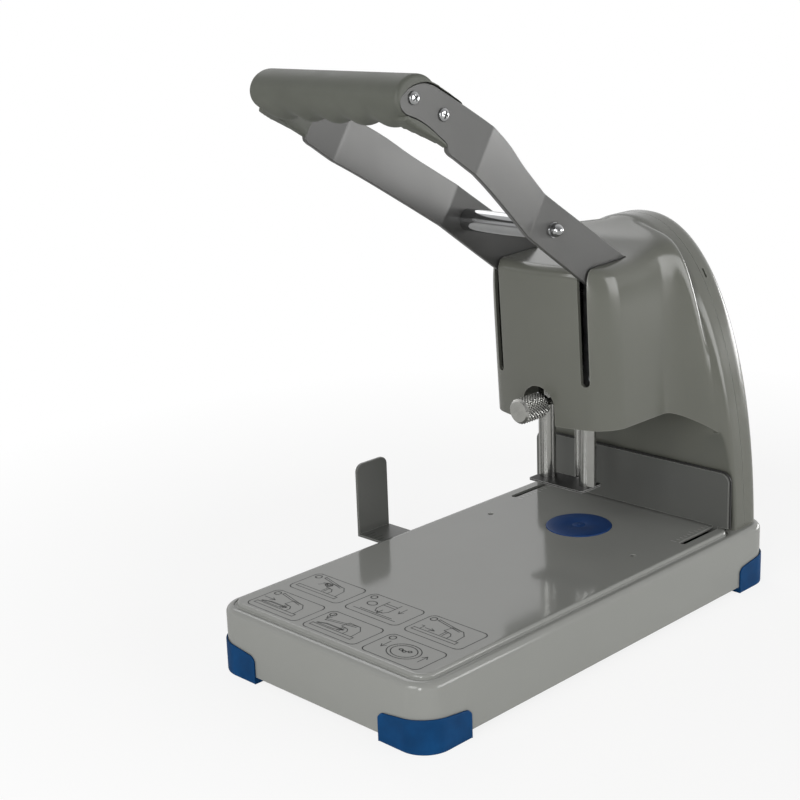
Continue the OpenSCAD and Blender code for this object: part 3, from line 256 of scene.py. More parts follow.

# %% [markdown]
# The posts and the punch are ground steel. The presser plate is steel strip that was blued in hot oil, a
# thin dark skin, so it is made like a paint. Its edges are painted near white: a painted highlight along
# the edge, together with the brightness that paper rubs into it. The screws and nuts are bright chrome
# plate, the frame inside is galvanised zinc, the bushes are turned brass and the springs are drawn wire
# with an oily grey skin. Each starts from the metal's usual colour.

# %% Seven metals
for slot, *recipe in (
        ("ground_steel", "ground_steel_bright", "#B0B0AD", 0.2, 0.4, (12, 12, 1), 0.002),
        ("bright_screw", "chrome_plate_bright", "#B4B5B6", 0.1, 1.5, (1, 1, 1), 0.003),
        ("zinc_plate", "zinc_plate_clouded", "#9FA1A2", 0.42, 4, (1, 1, 1), 0.01),
        ("bush_brass", "turned_brass", "#B99B5B", 0.26, 0.4, (1, 12, 12), 0.005),
        ("spring_steel", "drawn_spring_wire", "#77777A", 0.32, 0.5, (8, 1, 1), 0.005),
        # the last number darkens the knurl's hollows with painted shade and oil
        ("knurled_steel", "knurled_steel_plated", "#C0C0BC", 0.2, 0.6, (1, 1, 1), 0.004, 0.9)):
    finishes[slot] = metal(*recipe)
# the near-white edge colour of the presser plate is a painted highlight along its edges, with paper wear
finishes["presser_steel"] = paint("blued_steel_strip", "#3A3A39", "#343434", "#FFFFFC", 0.5, 2.4, 0.004, 0.6)
print("metals:", ", ".join(list(finishes)[-7:]))

# %% [markdown]
# ## Rubber and plastic
# The feet and the pad are coloured all through, the grip is moulded plastic with a spark-eroded grain.
# None of them mirrors anything, but each has its own dull sheen: rubber blooms paler in patches, a
# moulded grain breaks up the light, and the pad is scuffed by the punch.
# One plain shader could serve them all, but then a foot and a grip would look like the same stuff.

# %% Rubber and plastic
bloom_wide = 16


def moulded(name, colour, bloom, roughness, grain, depth, shine):
    """A moulded rubber or plastic, its grain and depth in millimetres. Plain plastic has a shine of 0.5."""
    made, tree = empty_material(name)
    place = add(tree, "ShaderNodeTexCoord").outputs["Object"]
    patch = noise(tree, place, bloom_wide, 4)
    tone = mix(tree, spread(tree, patch, 0.35, 0.75), linear(colour), linear(bloom))
    gloss = spread(tree, patch, 0, 1, roughness * 0.85, roughness * 1.15)
    pits = noise(tree, place, grain, 2)
    surface(tree, tone, gloss, pits, depth, 0.6, {"IOR": 1.5, "Specular IOR Level": shine})
    return made


for slot, *recipe in (
        ("foot_rubber", "moulded_rubber_blue", "#06365F", "#0A4170", 0.6, 1.2, 0.03, 0.12),
        ("pad_plastic", "turned_polypropylene_navy", "#0C3366", "#123B70", 0.4, 0.8, 0.02, 0.25),
        ("grip_plastic", "moulded_plastic_grained_grey", "#50524B", "#575952", 0.55, 0.7, 0.04, 0.4),
        ("slider_plastic", "moulded_nylon_black", "#232323", "#2C2C2B", 0.45, 0.6, 0.02, 0.5)):
    finishes[slot] = moulded(*recipe)
print("rubber and plastics:", ", ".join(list(finishes)[-4:]))

# %% [markdown]
# ## Printing inks
# The table and the guide carry screen-printed lines. Ink is a thin flat film, so its edges are crisp and
# its gloss is close to the paint below; a fine mottle keeps it from looking like a cut-out.
# Dried ink is a film of plastic, so the function for plastic makes it too.

# %% Inks
finishes["print_ink"] = moulded("screen_ink_charcoal", "#262725", "#2E2F2D", 0.4, 0.4, 0.003, 0.3)
finishes["scale_ink"] = moulded("screen_ink_pale_grey", "#A9AAA6", "#B2B3AF", 0.35, 0.4, 0.003, 0.4)
print("inks:", ", ".join(list(finishes)[-2:]))

# %% [markdown]
# ## Studio
# The photograph is a product shot on white, so the world is white wherever the camera looks at it. What
# a gloss mirrors is white behind the object and dim on the camera's side, as in a studio with one white
# wall; that gives bright metal its dark edges. Diffuse light from the world comes mostly from the sides.
# A panorama of a studio could do this as well, but in nodes each of these can be set by itself.

# %% World
scene = bpy.context.scene
scene.view_settings.view_transform = "Standard"

world = bpy.data.worlds.new("studio_world")
scene.world = world
world.use_nodes = True
tree = world.node_tree
tree.nodes.clear()
seen = add(tree, "ShaderNodeLightPath").outputs
mirror = add(tree, "ShaderNodeMath", {
    0: seen["Is Glossy Ray"], 1: seen["Is Transmission Ray"]}, operation="MAXIMUM")
toward = add(tree, "ShaderNodeTexCoord").outputs["Generated"]
tall = add(tree, "ShaderNodeSeparateXYZ", {0: toward}).outputs["Z"]
behind = add(tree, "ShaderNodeVectorMath", {0: toward, 1: (-0.71, 0.7, 0)}, operation="DOT_PRODUCT")
soft = spread(tree, tall, 0, 0.7, 0.8, 0.18)
room = spread(tree, behind.outputs["Value"], -0.6, 0.6, 0.35, 1.0)
lit = add(tree, "ShaderNodeMix", {0: mirror.outputs[0], 2: soft, 3: room})
bright = add(tree, "ShaderNodeMath", {0: seen["Is Camera Ray"], 1: lit.outputs[0]}, operation="MAXIMUM")
sky = add(tree, "ShaderNodeBackground", {"Color": (1, 1, 1, 1), "Strength": bright.outputs[0]})
add(tree, "ShaderNodeOutputWorld", {"Surface": sky.outputs[0]})

print("world: nodes", len(tree.nodes))

# %% [markdown]
# A pale paper floor takes the soft shadow under the feet and fades to plain white away from the object.
# A shadow catcher would leave a second layer to put together afterwards. A floor that turns from paper to
# plain light needs only one render.

# %% Floor
paper, tree = empty_material("studio_paper_white")
ground = add(tree, "ShaderNodeNewGeometry").outputs["Position"]
reach = add(tree, "ShaderNodeVectorMath", {0: ground}, operation="LENGTH").outputs["Value"]
fade = spread(tree, reach, 0.35, 0.75, 0.84, 1.0)
camera_ray = add(tree, "ShaderNodeLightPath").outputs["Is Camera Ray"]
share = add(tree, "ShaderNodeMath", {0: camera_ray, 1: fade}, operation="MULTIPLY")
matte = add(tree, "ShaderNodeBsdfDiffuse", {"Color": linear("#F4F4F2")})
glow = add(tree, "ShaderNodeEmission", {"Color": (1, 1, 1, 1), "Strength": 1.0})
blend = add(tree, "ShaderNodeMixShader", {0: share.outputs[0], 1: matte.outputs[0], 2: glow.outputs[0]})
add(tree, "ShaderNodeOutputMaterial", {"Surface": blend.outputs[0]})

floor_half = 60
CORNERS = (-1, -1), (1, -1), (1, 1), (-1, 1)
floor_mesh = bpy.data.meshes.new("studio_floor")
floor_mesh.from_pydata([(x * floor_half, y * floor_half, 0) for x, y in CORNERS], [], [(0, 1, 2, 3)])
floor_mesh.materials.append(paper)
floor = bpy.data.objects.new("studio_floor", floor_mesh)
scene.collection.objects.link(floor)
floor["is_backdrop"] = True

print("floor:", floor_half * 2, "m wide")

# %% [markdown]
# Soft lamps model the forms: a key from the front, a fill from the right, a lamp over the left shoulder
# for the top of the hood, a low one behind, and a tall strip that draws the bright line down the flare.
# One large lamp could light it all, but then the flats of the bent arms would hardly differ.

# %% Lamps
aim = Vector((0, -0.05, 0.15))
for name, place, width, height, power in (
        ("key_lamp", (0.1, -1.9, 0.9), 1.0, 1.0, 14),
        ("fill_lamp", (1.9, 0.65, 0.5), 1.4, 0.9, 18),
        ("top_lamp", (-1.4, 0.6, 1.6), 1.0, 1.0, 5),
        ("back_lamp", (0.4, 1.5, 0.2), 1.0, 0.3, 7),
        ("strip_lamp", (0.8, -1.45, 0.42), 0.25, 0.8, 5.5)):
    light = bpy.data.lights.new(name, "AREA")
    light.shape, light.size, light.size_y, light.energy = "RECTANGLE", width, height, power
    lamp = bpy.data.objects.new(name, light)
    lamp.location = place
    lamp.rotation_euler = (aim - Vector(place)).to_track_quat("-Z", "Y").to_euler()
    scene.collection.objects.link(lamp)
    lamp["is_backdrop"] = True
print("lamps:", len(bpy.data.lights))

# %% [markdown]
# ## Shapes from rings
# Most pieces here are skins drawn through rings of points, as a hull is drawn through its frames. These
# helpers work in millimetres: `skin` joins rings and `solid` makes an object of skins.
# A subdivided box can be drawn faster, but with rings every size stays a number that can be checked.

# %% Skins and solids
import bmesh
import numpy as np


def skin(rings, closed=True, caps=True):
    """Points and faces of a skin through rings that all have the same number of points."""
    size = len(rings[0])
    points = [tuple(p) for ring in rings for p in ring]
    faces = []
    for i in range(len(rings) - 1):
        for j in range(size if closed else size - 1):
            a, b = i * size + j, i * size + (j + 1) % size
            faces.append((a, b, b + size, a + size))
    if caps:
        last = (len(rings) - 1) * size
        faces += [tuple(reversed(range(size))), tuple(range(last, last + size))]
    return points, faces


def solid(name, *skins):
    """One object of skins in millimetres, with shared points joined and faces turned outward."""
    shape = bmesh.new()
    for points, faces in skins:
        made = [shape.verts.new(Vector(p) * MM) for p in points]
        for face in faces:
            shape.faces.new([made[i] for i in face])
    bmesh.ops.remove_doubles(shape, verts=shape.verts, dist=1e-6)
    bmesh.ops.recalc_face_normals(shape, faces=shape.faces)
    mesh = bpy.data.meshes.new(name)
    shape.to_mesh(mesh)
    shape.free()
    obj = bpy.data.objects.new(name, mesh)
    scene.collection.objects.link(obj)
    return obj


print("a skin of two squares has", len(skin([CORNERS, CORNERS])[1]), "faces")

# %% [markdown]
# A piece is then worked like the real one: `cut` takes other solids away, `thicken` turns a skin into
# sheet, `soften` rounds the edges that a tool or a mould would never leave sharp, and `dress` gives the
# piece its finish and the body that it rides, and hides the CAD nodes that it stands for.

# %% Work on a piece
def settle(obj):
    """Make a new object's modifiers part of its mesh."""
    graph = bpy.context.evaluated_depsgraph_get()
    made = bpy.data.meshes.new_from_object(obj.evaluated_get(graph))
    obj.modifiers.clear()
    obj.data = made


def cut(obj, *cutters):
    """Take other solids away from a new object."""
    for cutter in cutters:
        knife = obj.modifiers.new("cut", "BOOLEAN")
        knife.operation, knife.solver, knife.object = "DIFFERENCE", "EXACT", cutter
    settle(obj)
    for cutter in cutters:
        bpy.data.objects.remove(cutter)


def thicken(obj, thickness):
    """Give a new object of open skins a thickness inward."""
    sheet = obj.modifiers.new("sheet", "SOLIDIFY")
    sheet.thickness, sheet.offset, sheet.use_even_offset = thickness * MM, -1, True
    settle(obj)


def soften(obj, width, segments=2, angle=40):
    """Round the edges sharper than an angle to a width in millimetres, and even out the shading."""
    bevel = obj.modifiers.new("rounded_edges", "BEVEL")
    bevel.width, bevel.segments = width * MM, segments
    bevel.limit_method, bevel.angle_limit = "ANGLE", math.radians(angle)
    even = obj.modifiers.new("even_shading", "WEIGHTED_NORMAL")
    even.keep_sharp = True


def smooth(obj, angle):
    """Shade a new object smooth except across edges sharper than an angle."""
    obj.data.shade_smooth()
    obj.data.set_sharp_from_angle(angle=math.radians(angle))


def dress(obj, body, finish, *stands_for):
    """Give a new piece its finish and its body, and hide the CAD nodes that it stands for."""
    obj.data.materials.clear()
    obj.data.materials.append(finishes[finish])
    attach(obj, body)
    if stands_for:
        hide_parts(*stands_for)
    print("piece:", obj.name, len(obj.data.polygons), "faces")


print("finishes to dress with:", len(finishes))

# %% [markdown]
# Two kinds of ring serve most pieces: `oblong` lies round a rectangle and `hoop` runs round an axis, as on
# a lathe. `block` is a plain skin to cut with. Sizes that the CAD already holds are read by `node_box`.

# %% Rings
def node_box(name):
    """Lowest and highest corner of a CAD node, in millimetres."""
    return [[c / MM for c in corner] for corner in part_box(name)]


def oblong(x0, x1, y0, y1, radius, z, corner=14):
    """A level ring round a rectangle with rounded corners."""
    ring = []
    for cx, cy, turn in ((x1 - radius, y0 + radius, -90), (x1 - radius, y1 - radius, 0),
                         (x0 + radius, y1 - radius, 90), (x0 + radius, y0 + radius, 180)):
        for i in range(corner + 1):
            angle = math.radians(turn + 90 * i / corner)
            ring.append((cx + radius * math.cos(angle), cy + radius * math.sin(angle), z))
    return ring


def hoop(radius, along, at, axis, count, dent=None):
    """A ring round an axis. A dent gives the depth to take off at each step and distance along."""
    x, y, z = at
    ring = []
    for i in range(count):
        angle = 2 * math.pi * i / count
        reach = radius - dent(i, along) if dent else radius
        p, q = reach * math.cos(angle), reach * math.sin(angle)
        ring.append({"x": (x + along, y + p, z + q), "y": (x + q, y + along, z + p),
                     "z": (x + p, y + q, z + along)}[axis])
    return ring


def lathe(profile, at, axis, count):
    """A skin turned round an axis, from pairs of radius and distance along it."""
    return skin([hoop(radius, along, at, axis, count) for radius, along in profile])


def arc(steps, turn=math.pi / 2):
    """Evenly spaced angles from nothing to a turn."""
    return [turn * i / steps for i in range(steps + 1)]


def block(x0, x1, y0, y1, z0, z1):
    """A skin of a plain block, used to cut with."""
    return skin([[(x0, y0, z), (x1, y0, z), (x1, y1, z), (x0, y1, z)] for z in (z0, z1)])


print("a ring round the base has", len(oblong(-110, 110, -300, 117, 21, 0)), "points")

# %% [markdown]
# ## Base
# The base is a deep-drawn tray turned upside down. Sheet metal can't fold to a sharp edge, so the rim
# rolls over with a radius of about five millimetres, a shallow groove runs inside it, and the table
# rises from the groove with a smaller rounded edge. The rings below follow that section from the
# underside of the table, down the inside of the wall, round its foot, over the rim and up on to the table.
# A box with a bevel would have one radius everywhere, and here each edge has its own.

# %% Base shell
(base_x0, base_y0, base_z0), (base_x1, base_y1, table_z) = node_box("base_shell")
corner_r, wall, table_in, table_back = 21, 3, 8.5, 73
rim_z = table_z - 3
rim_round, table_round, foot_round, sheet_t, sheet_in = 5, 2.4, 0.8, 2, 4
groove, groove_lip, groove_far, groove_near = 0.9, 2.8, 2.2, 0.9


def wall_ring(inset, z):
    """A ring round the base, moved inward."""
    return oblong(base_x0 + inset, base_x1 - inset, base_y0 + inset, base_y1 - inset, corner_r - inset, z)


def table_ring(grow, z):
    """A ring round the table, moved outward."""
    return oblong(base_x0 + table_in - grow, base_x1 - table_in + grow, base_y0 + table_in - grow,
                  table_back + grow, corner_r - table_in + grow, z)


section = [table_ring(-sheet_in, table_z - sheet_t), table_ring(-sheet_in, rim_z - wall),
           wall_ring(wall, rim_z - wall), wall_ring(wall, base_z0 + foot_round),
           wall_ring(wall - foot_round, base_z0),
           wall_ring(foot_round, base_z0), wall_ring(0, base_z0 + foot_round)]
section += [wall_ring(rim_round * (1 - math.cos(a)), rim_z - rim_round * (1 - math.sin(a))) for a in arc(6)]
section += [table_ring(groove_lip, rim_z), table_ring(groove_far, rim_z - groove),
            table_ring(groove_near, rim_z - groove), table_ring(0, rim_z - 0.2)]
section += [table_ring(-table_round * (1 - math.cos(a)), table_z - table_round * (1 - math.sin(a)))
            for a in arc(6)]
section.append(table_ring(-table_round - 1.5, table_z))
base = solid("base_tray", skin(section))

print("base: rings", len(section), "of", len(section[0]), "points")

# %% [markdown]
# The table is cut through for the pad, for two pegs and for the slots of the gauge, and its side wall
# for the bar of the guide. A punched edge is a little rounded, so the edges are softened after the cut.

# %% Holes in the base
pad_hole, peg_x, peg_y, peg_r = 27.7, 75.2, -26, 2.5
slot_x, slot_r, slot_front, slot_back = 89.4, 3, 22, 69
below, above, guide_t, guide_play = -12, 5, 2, 0.5
(guide_x0, guide_y0, guide_z0), (_, guide_y1, _) = node_box("side_guide")


def bore(name, x, y, radius, count):
    """A round cutter through the table."""
    return solid(name, lathe([(radius, below), (radius, above)], (x, y, table_z), "z", count))


cuts = [bore("pad_cut", 0, 0, pad_hole, 96)]
for side in (-1, 1):
    cuts.append(bore("peg_cut", side * peg_x, peg_y, peg_r, 32))
    cuts.append(solid("slot_cut", skin([
        oblong(side * slot_x - slot_r, side * slot_x + slot_r, slot_front - slot_r, slot_back + slot_r,
               slot_r, table_z + d) for d in (below, above)])))
cuts.append(solid("guide_cut", block(
    base_x0 - 2, base_x0 + 2 * wall, guide_y0 - guide_play, guide_y1 + guide_play,
    guide_z0 - guide_play, guide_z0 + guide_t + guide_play)))
cut(base, *cuts)
smooth(base, 32)
soften(base, 0.35, 2, 65)
dress(base, "base", "table_enamel", "base_shell")

# %% [markdown]
# ## Hood and column
# The head and the column behind it are two pressed covers that meet at a seam. Seen from the front each
# cross-section is an arch: almost a rectangle at the nose and nearly round at the column. The same
# arches that shaped the CAD are drawn here much finer. `arch` spaces its points evenly, so that the skin
# has no folds.

# %% Arches of the covers
column_half, column_high, column_power = 102.5, 253, 2.2
head_half, head_power, head_low, head_y = 62, 14, table_z + 101, -44.4
corner_round, crown_round, bow_r, lean = 18, 8, 130, 0.056
flare_y, ridge_y, seam_y, rear_y, ridge_low = 37, 76, 90, 114.5, table_z + 77
crown_high, crown_rise, swell_high, swell_y, swell_run = 230, 4, 19, 4, 72
flare_out, flare_drop, flare_curve, flare_square = 40.5, 24, 2.2, 2.5
cover_wall = 3


def arch(half, high, power, low, steps=200):
    """Points of an arch over the table, as x and z, evenly spaced from its right foot to its left foot."""
    start = math.asin(max(0, (low - table_z) / high) ** (power / 2))
    turn = np.linspace(start, math.pi - start, 1200)
    x = half * np.sign(np.cos(turn)) * np.abs(np.cos(turn)) ** (2 / power)
    z = table_z + high * np.sin(turn) ** (2 / power)
    if low < table_z:
        x, z = np.concatenate([[half], x, [-half]]), np.concatenate([[low], z, [low]])
    run = np.concatenate([[0], np.cumsum(np.hypot(np.diff(x), np.diff(z)))])
    even = np.linspace(0, run[-1], steps + 1)
    return list(zip(np.interp(even, run, x), np.interp(even, run, z)))


def stand(ring, y, bow=0):
    """An arch stood at y, bowed back at its sides and leaning forward with height."""
    return [(x, y + bow * x * x / (2 * bow_r) - lean * (z - table_z), z) for x, z in ring]


def shrink(ring, share, low):
    """An arch drawn in towards the middle of its foot line."""
    return [(x * share, low + (z - low) * share) for x, z in ring]


def crown(y):
    """Height of the hood's top above the table."""
    rise = crown_rise * (y - head_y) / (ridge_y - head_y)
    return crown_high + rise + swell_high * max(0, (y - swell_y) / swell_run) ** 2


def flare_ring(y):
    """An arch of the hood where it widens to the column."""
    share = min(1, max(0, (y - flare_y) / (ridge_y - flare_y)))
    wide = share ** flare_curve
    power = column_power + (head_power - column_power) * (1 - wide) ** flare_square
    return stand(arch(head_half + flare_out * wide, crown(y), power, head_low - flare_drop * share ** 2), y)


print("crown:", crown(head_y), "mm over the table at the nose,", crown(ridge_y), "mm at the ridge")

# %% [markdown]
# The rings start in the middle of the bowed front face and run round its corner, along the hood, out over
# the flare and round the ridge to the seam.

# %% Rings of the hood
face = arch(head_half - corner_round, crown(head_y) - crown_round, head_power, head_low)
face_rings, side_rings, flare_rings = 44, 10, 24
rings = [stand(shrink(face, i / face_rings, head_low), head_y, 1) for i in range(face_rings)]
for angle in arc(12):
    depth = corner_round * (1 - math.cos(angle))
    fall = max(0, crown_round - depth)
    high = crown(head_y + depth) - crown_round + math.sqrt(crown_round ** 2 - fall ** 2)
    half = head_half - corner_round * (1 - math.sin(angle))
    rings.append(stand(arch(half, high, head_power, head_low), head_y + depth, 1))
for i in range(1, side_rings):
    y = head_y + corner_round + (flare_y - head_y - corner_round) * i / side_rings
    rings.append(stand(arch(head_half, crown(y), head_power, head_low), y, 1 - i / side_rings))
ridge_round = 4
turns = [i / 6 for i in range(1, 6)]


def bend(a, c, b, t):
    """A point on the curve from a to b that is drawn towards c."""
    return [(1 - t) ** 2 * p + 2 * t * (1 - t) * q + t * t * r for p, q, r in zip(a, c, b)]


flare_run = ridge_y - ridge_round - flare_y
rings += [flare_ring(flare_y + flare_run * i / flare_rings) for i in range(flare_rings + 1)]
crest = flare_ring(ridge_y)
band_y = [ridge_y + ridge_round, ridge_y + 2 * ridge_round, seam_y]
band = [stand(arch(column_half, column_high, column_power, ridge_low), y) for y in band_y]
before = rings[-1]
rings += [[bend(a, c, b, t) for a, c, b in zip(before, crest, band[0])] for t in turns]
rings += band
print("hood: rings", len(rings), "of", len(rings[0]), "points")

# %% [markdown]
# Below the hood the front cover runs down to the base as two narrow legs with a wall between them. They
# are grids whose edge points are shared with the rings above, and the wall runs on up inside the hood.
# The skin is then given its thickness inward.

# %% Front cover
def column_x(z):
    """Half width of the column at a height."""
    return column_half * (1 - (max(0, z - table_z) / column_high) ** column_power) ** (1 / column_power)


leg_rows, wall_half, blend_high, hidden_rows, hidden_step, hidden_in = 20, 12, 30, 9, 7, 6
heights = [rim_z + (ridge_low - rim_z) * i / leg_rows for i in range(leg_rows + 1)]
across = [i / wall_half - 1 for i in range(2 * wall_half + 1)]
hood_foot = before[0]


def open_skin(rows):
    """A skin through rows of points that is not closed to a tube."""
    return skin(rows, closed=False, caps=False)


def leg_columns(side):
    """Upright lines of points round the front edge of a leg, from the wall to the seam."""
    lines = []
    for z in heights:
        x, y = column_x(z), ridge_y - lean * (z - table_z)
        near = max(0, 1 - (ridge_low - z) / blend_high) ** 2
        wall_edge = [p + (q - p) * near for p, q in zip((x - ridge_round, y, z), hood_foot)]
        row = [wall_edge] + [bend(wall_edge, (x, y, z), (x, y + ridge_round, z), t) for t in turns]
        row += [(x, y + d - ridge_y, z) for d in band_y]
        lines.append([(side * px, py, pz) for px, py, pz in row])
    return lines


legs = {side: leg_columns(side) for side in (-1, 1)}
wall_rows = []
for z, left, right_hand in zip(heights, legs[-1], legs[1]):
    row = []
    y = ridge_y - lean * (z - table_z)
    for share in across:
        end = right_hand[0] if share > 0 else left[0]
        drawn = share ** 8
        row.append((abs(share) * end[0], y + (end[1] - y) * drawn, z + (end[2] - z) * drawn))
    wall_rows.append(row)
for i in range(1, hidden_rows + 1):
    z = ridge_low + hidden_step * i
    y = ridge_y - lean * (z - table_z)
    wall_rows.append([((column_x(z) - hidden_in) * share, y, z) for share in across])
hood = solid("front_hood", *[open_skin(rows) for rows in (rings, legs[-1], legs[1], wall_rows)])
thicken(hood, cover_wall)

print("front cover:", len(hood.data.polygons), "faces before it is cut")

# %% [markdown]
# The two lever slots and the notch for the knob are cut from the front, and the cut edges are rounded.
# They could be left open in the grid, but a cut gives clean walls through the thickness of the sheet.

# %% Slots and notch
lever_x, lever_slot_r, lever_slot_low, lever_slot_back = 43, 3.5, table_z + 136.5, 4
knob_z, notch_r = table_z + 116, 16
cut_front, cut_low, cut_hole, cut_top = head_y - 40, head_low - 20, 240, 340
slot_end = lever_slot_back - lever_slot_r


def push(name, outline, y0, y1):
    """A solid with an outline of x and z, pushed from one y to another."""
    return solid(name, skin([[(x, y, z) for x, z in outline] for y in (y0, y1)]))


cuts = []
for side in (-1, 1):
    mouth = [(side * lever_x + lever_slot_r * math.cos(math.pi + a),
              lever_slot_low + lever_slot_r * (1 + math.sin(math.pi + a))) for a in arc(16, math.pi)]
    mouth += [(side * lever_x + lever_slot_r, cut_top), (side * lever_x - lever_slot_r, cut_top)]
    cuts.append(push("lever_cut", mouth, cut_front, slot_end))
    end = [(lever_slot_r, cut_hole), (lever_slot_r, cut_top)]
    cuts.append(solid("lever_end_cut", lathe(end, (side * lever_x, slot_end, 0), "z", 32)))
notch = [(notch_r * math.cos(a), knob_z + notch_r * math.sin(a)) for a in arc(32, math.pi)]
notch += [(-notch_r, cut_low), (notch_r, cut_low)]
cuts.append(push("notch_cut", notch, cut_front, head_y + 12))
cut(hood, *cuts)
smooth(hood, 38)
soften(hood, 0.5, 2, 60)
dress(hood, "base", "head_enamel", "front_cover")

# %% [markdown]
# The rear cover closes the column from behind. It is one arch drawn back to a rounded rear edge and a
# flat back. A fine gap at the seam shows as a dark line, and a short slit near its right shoulder is
# where a tool would lift the cover off.

# %% Rear cover
rear_round, seam_gap = 14, 0.4
column = arch(column_half, column_high, column_power, rim_z)
rings = [stand(column, y) for y in (seam_y + seam_gap, seam_y + 4, seam_y + 7.5)]
for angle in arc(10):
    inset = rear_round * (1 - math.cos(angle))
    rings.append(stand(arch(column_half - inset, column_high - inset, column_power, rim_z),
                       rear_y - rear_round * (1 - math.sin(angle))))
back = arch(column_half - rear_round, column_high - rear_round, column_power, rim_z)
rings += [stand(shrink(back, s, rim_z), rear_y) for s in (0.9, 0.7, 0.45, 0.2, 0)]
shell = solid("rear_shell", open_skin(rings))
thicken(shell, cover_wall)

slit_z, slit_long, slit_wide, slit_deep, slit_back = table_z + 208, 8, 2.4, 2, 5
tangent = Vector((column_x(slit_z + 1) - column_x(slit_z - 1), 0, 2)).normalized()
outward = Vector((tangent.z, 0, -tangent.x))
slit_at = Vector((column_x(slit_z), seam_y + slit_back - lean * (slit_z - table_z), slit_z))
corners = [slit_at + tangent * (slit_long / 2 * p) + Vector((0, slit_wide / 2 * q, 0)) for p, q in CORNERS]
cut(shell, solid("slit_cut", skin([[c + outward * d for c in corners] for d in (-slit_deep, 4)])))
smooth(shell, 38)
soften(shell, 0.5, 2, 60)
dress(shell, "base", "head_enamel", "rear_cover")

# %% [markdown]
# ## Lever arms
# Each arm is a strip of plate, sawn to a long gentle outline and bent twice so that the hands clear the
# hood. Its outline is given by a few heights along the arm with a smooth curve through them, and its
# plan by the two bends. `lever` turns distances along and across the arm into the resting place.

# %% Arms
lever_rest = math.radians(33.3)
pivot_y, pivot_z = 78, table_z + 159
arm_t, arm_in, arm_grip_in = 4, 41, 67.3
bend_in, bend_out, bend_ease, arm_back = 217, 318, 1.5, 19


def lever(x, u, v):
    """A point of the lever at rest, from its side distance, its distance along the arm and its height."""
    return (x, pivot_y - u * math.cos(lever_rest) + v * math.sin(lever_rest),
            pivot_z + u * math.sin(lever_rest) + v * math.cos(lever_rest))


def through(knots, u):
    """A smooth curve through knots of distance and height."""
    at = [k[0] for k in knots]
    slopes = np.gradient([k[1] for k in knots], at)
    i = min(max(int(np.searchsorted(at, u)) - 1, 0), len(at) - 2)
    gap = at[i + 1] - at[i]
    t = min(max((u - at[i]) / gap, 0), 1)
    return ((1 + 2 * t) * (1 - t) ** 2 * knots[i][1] + t * (1 - t) ** 2 * gap * slopes[i]
            + t * t * (3 - 2 * t) * knots[i + 1][1] + t * t * (t - 1) * gap * slopes[i + 1])


upper = [(0, 19), (106, 19.5), (180, 18.6), (205, 18.2), (217, 18.2), (240, 18.6), (262, 19.2), (289, 21.2),
         (318, 20.6), (340, 19.4), (350, 18.7), (372, 17), (385, 15.4), (392, 12.8), (398.5, 7.6), (403, 1.8),
         (405.6, -5)]
lower = [(0, -19), (106, -18.6), (217, -16.6), (250, -15.6), (300, -14.8), (323, -15.2), (340, -15.1),
         (347, -15), (349.5, -14.2), (351.5, -11.6), (354, -10.6), (362, -9.8), (374, -9), (386, -9.8),
         (396, -11.8), (400, -11.6), (403.5, -9.8), (405.6, -6.5)]


def edges(u):
    """Upper and lower edge of an arm at a distance from the pivot."""
    if u < 0:
        round_back = math.sqrt(max(0, arm_back ** 2 - u * u))
        return round_back, -round_back
    return through(upper, u), through(lower, u)


def arm_x(u):
    """Inner face of an arm at a distance from the pivot, with its two bends eased."""
    steps = [u + bend_ease * k for k in (-1, -0.5, 0, 0.5, 1)]
    return sum(np.interp(s, (bend_in, bend_out), (arm_in, arm_grip_in)) for s in steps) / len(steps)


print("arm: height at its bends", [round(edges(u)[0] - edges(u)[1], 1) for u in (bend_in, bend_out)], "mm")

# %% [markdown]
# A flat outline could be bent by a modifier, but sections that are placed one by one keep both edges where
# the CAD has them. They stand closer together where the arm bends and where its edge curves.

# %% Two arms
stations = [-18.9, -18, -16, -12, -6] + list(range(0, 210, 15)) + list(range(212, 223))
stations += list(range(230, 310, 8)) + list(range(313, 324)) + list(range(328, 344, 4))
stations += list(range(344, 356)) + list(range(356, 384, 3))
stations += [385, 388, 390, 392, 394, 396, 398, 400, 401.6, 403, 404, 404.8, 405.4]
for side, name in ((1, "right"), (-1, "left")):
    rings = []
    for u in stations:
        top, low = edges(u)
        rings.append([lever(side * (arm_x(u) + dx), u, v)
                      for dx, v in ((0, low), (arm_t, low), (arm_t, top), (0, top))])
    arm = solid(name + "_lever_arm", skin(rings))
    smooth(arm, 45)
    soften(arm, 0.6, 2, 50)
    dress(arm, "lever", "arm_enamel", name + "_arm")

# %% [markdown]
# ## Grip
# The grip is one moulding between the arms. When the lever rests its section is an oval, flatter above
# and deeper below, with four hollows for the fingers. At each end it runs back along the inside of the
# arm as a cheek that thins to nothing.

# %% Oval and cheek
grip_u, grip_v, grip_half_x = 393.3, 2, 72.3
grip_half_d, grip_up, grip_down = 18.5, 14.5, 20
grip_end_down, finger_pitch, finger_deep, end_round, grip_points = 14, 26, 3.4, 3, 96
cheek_w, cheek_flat, cheek_tip, cheek_root, cheek_far = 13, 5.2, 351, 385, 60
rim_u, rim_t = (351, 385), (0.75, 1.9)
cheek_edge = [(351, -12.4), (362.5, -13), (374, -14.4), (385.6, -15.6), (398, -16)]


def oval(angle, x):
    """Distance from the grip's middle to its oval skin in a direction, measured from the front."""
    hollow = finger_deep / 2 * (1 + math.cos(2 * math.pi * (abs(x) - finger_pitch / 2) / finger_pitch))
    if abs(x) > 2 * finger_pitch:
        share = np.interp(abs(x), (2 * finger_pitch, grip_half_x - 4), (0, 1))
        hollow = (grip_down - grip_end_down) * share ** 2
    down = grip_down - hollow
    tall = grip_up if math.sin(angle) > 0 else down
    return 1 / math.hypot(math.cos(angle) / grip_half_d, math.sin(angle) / tall)


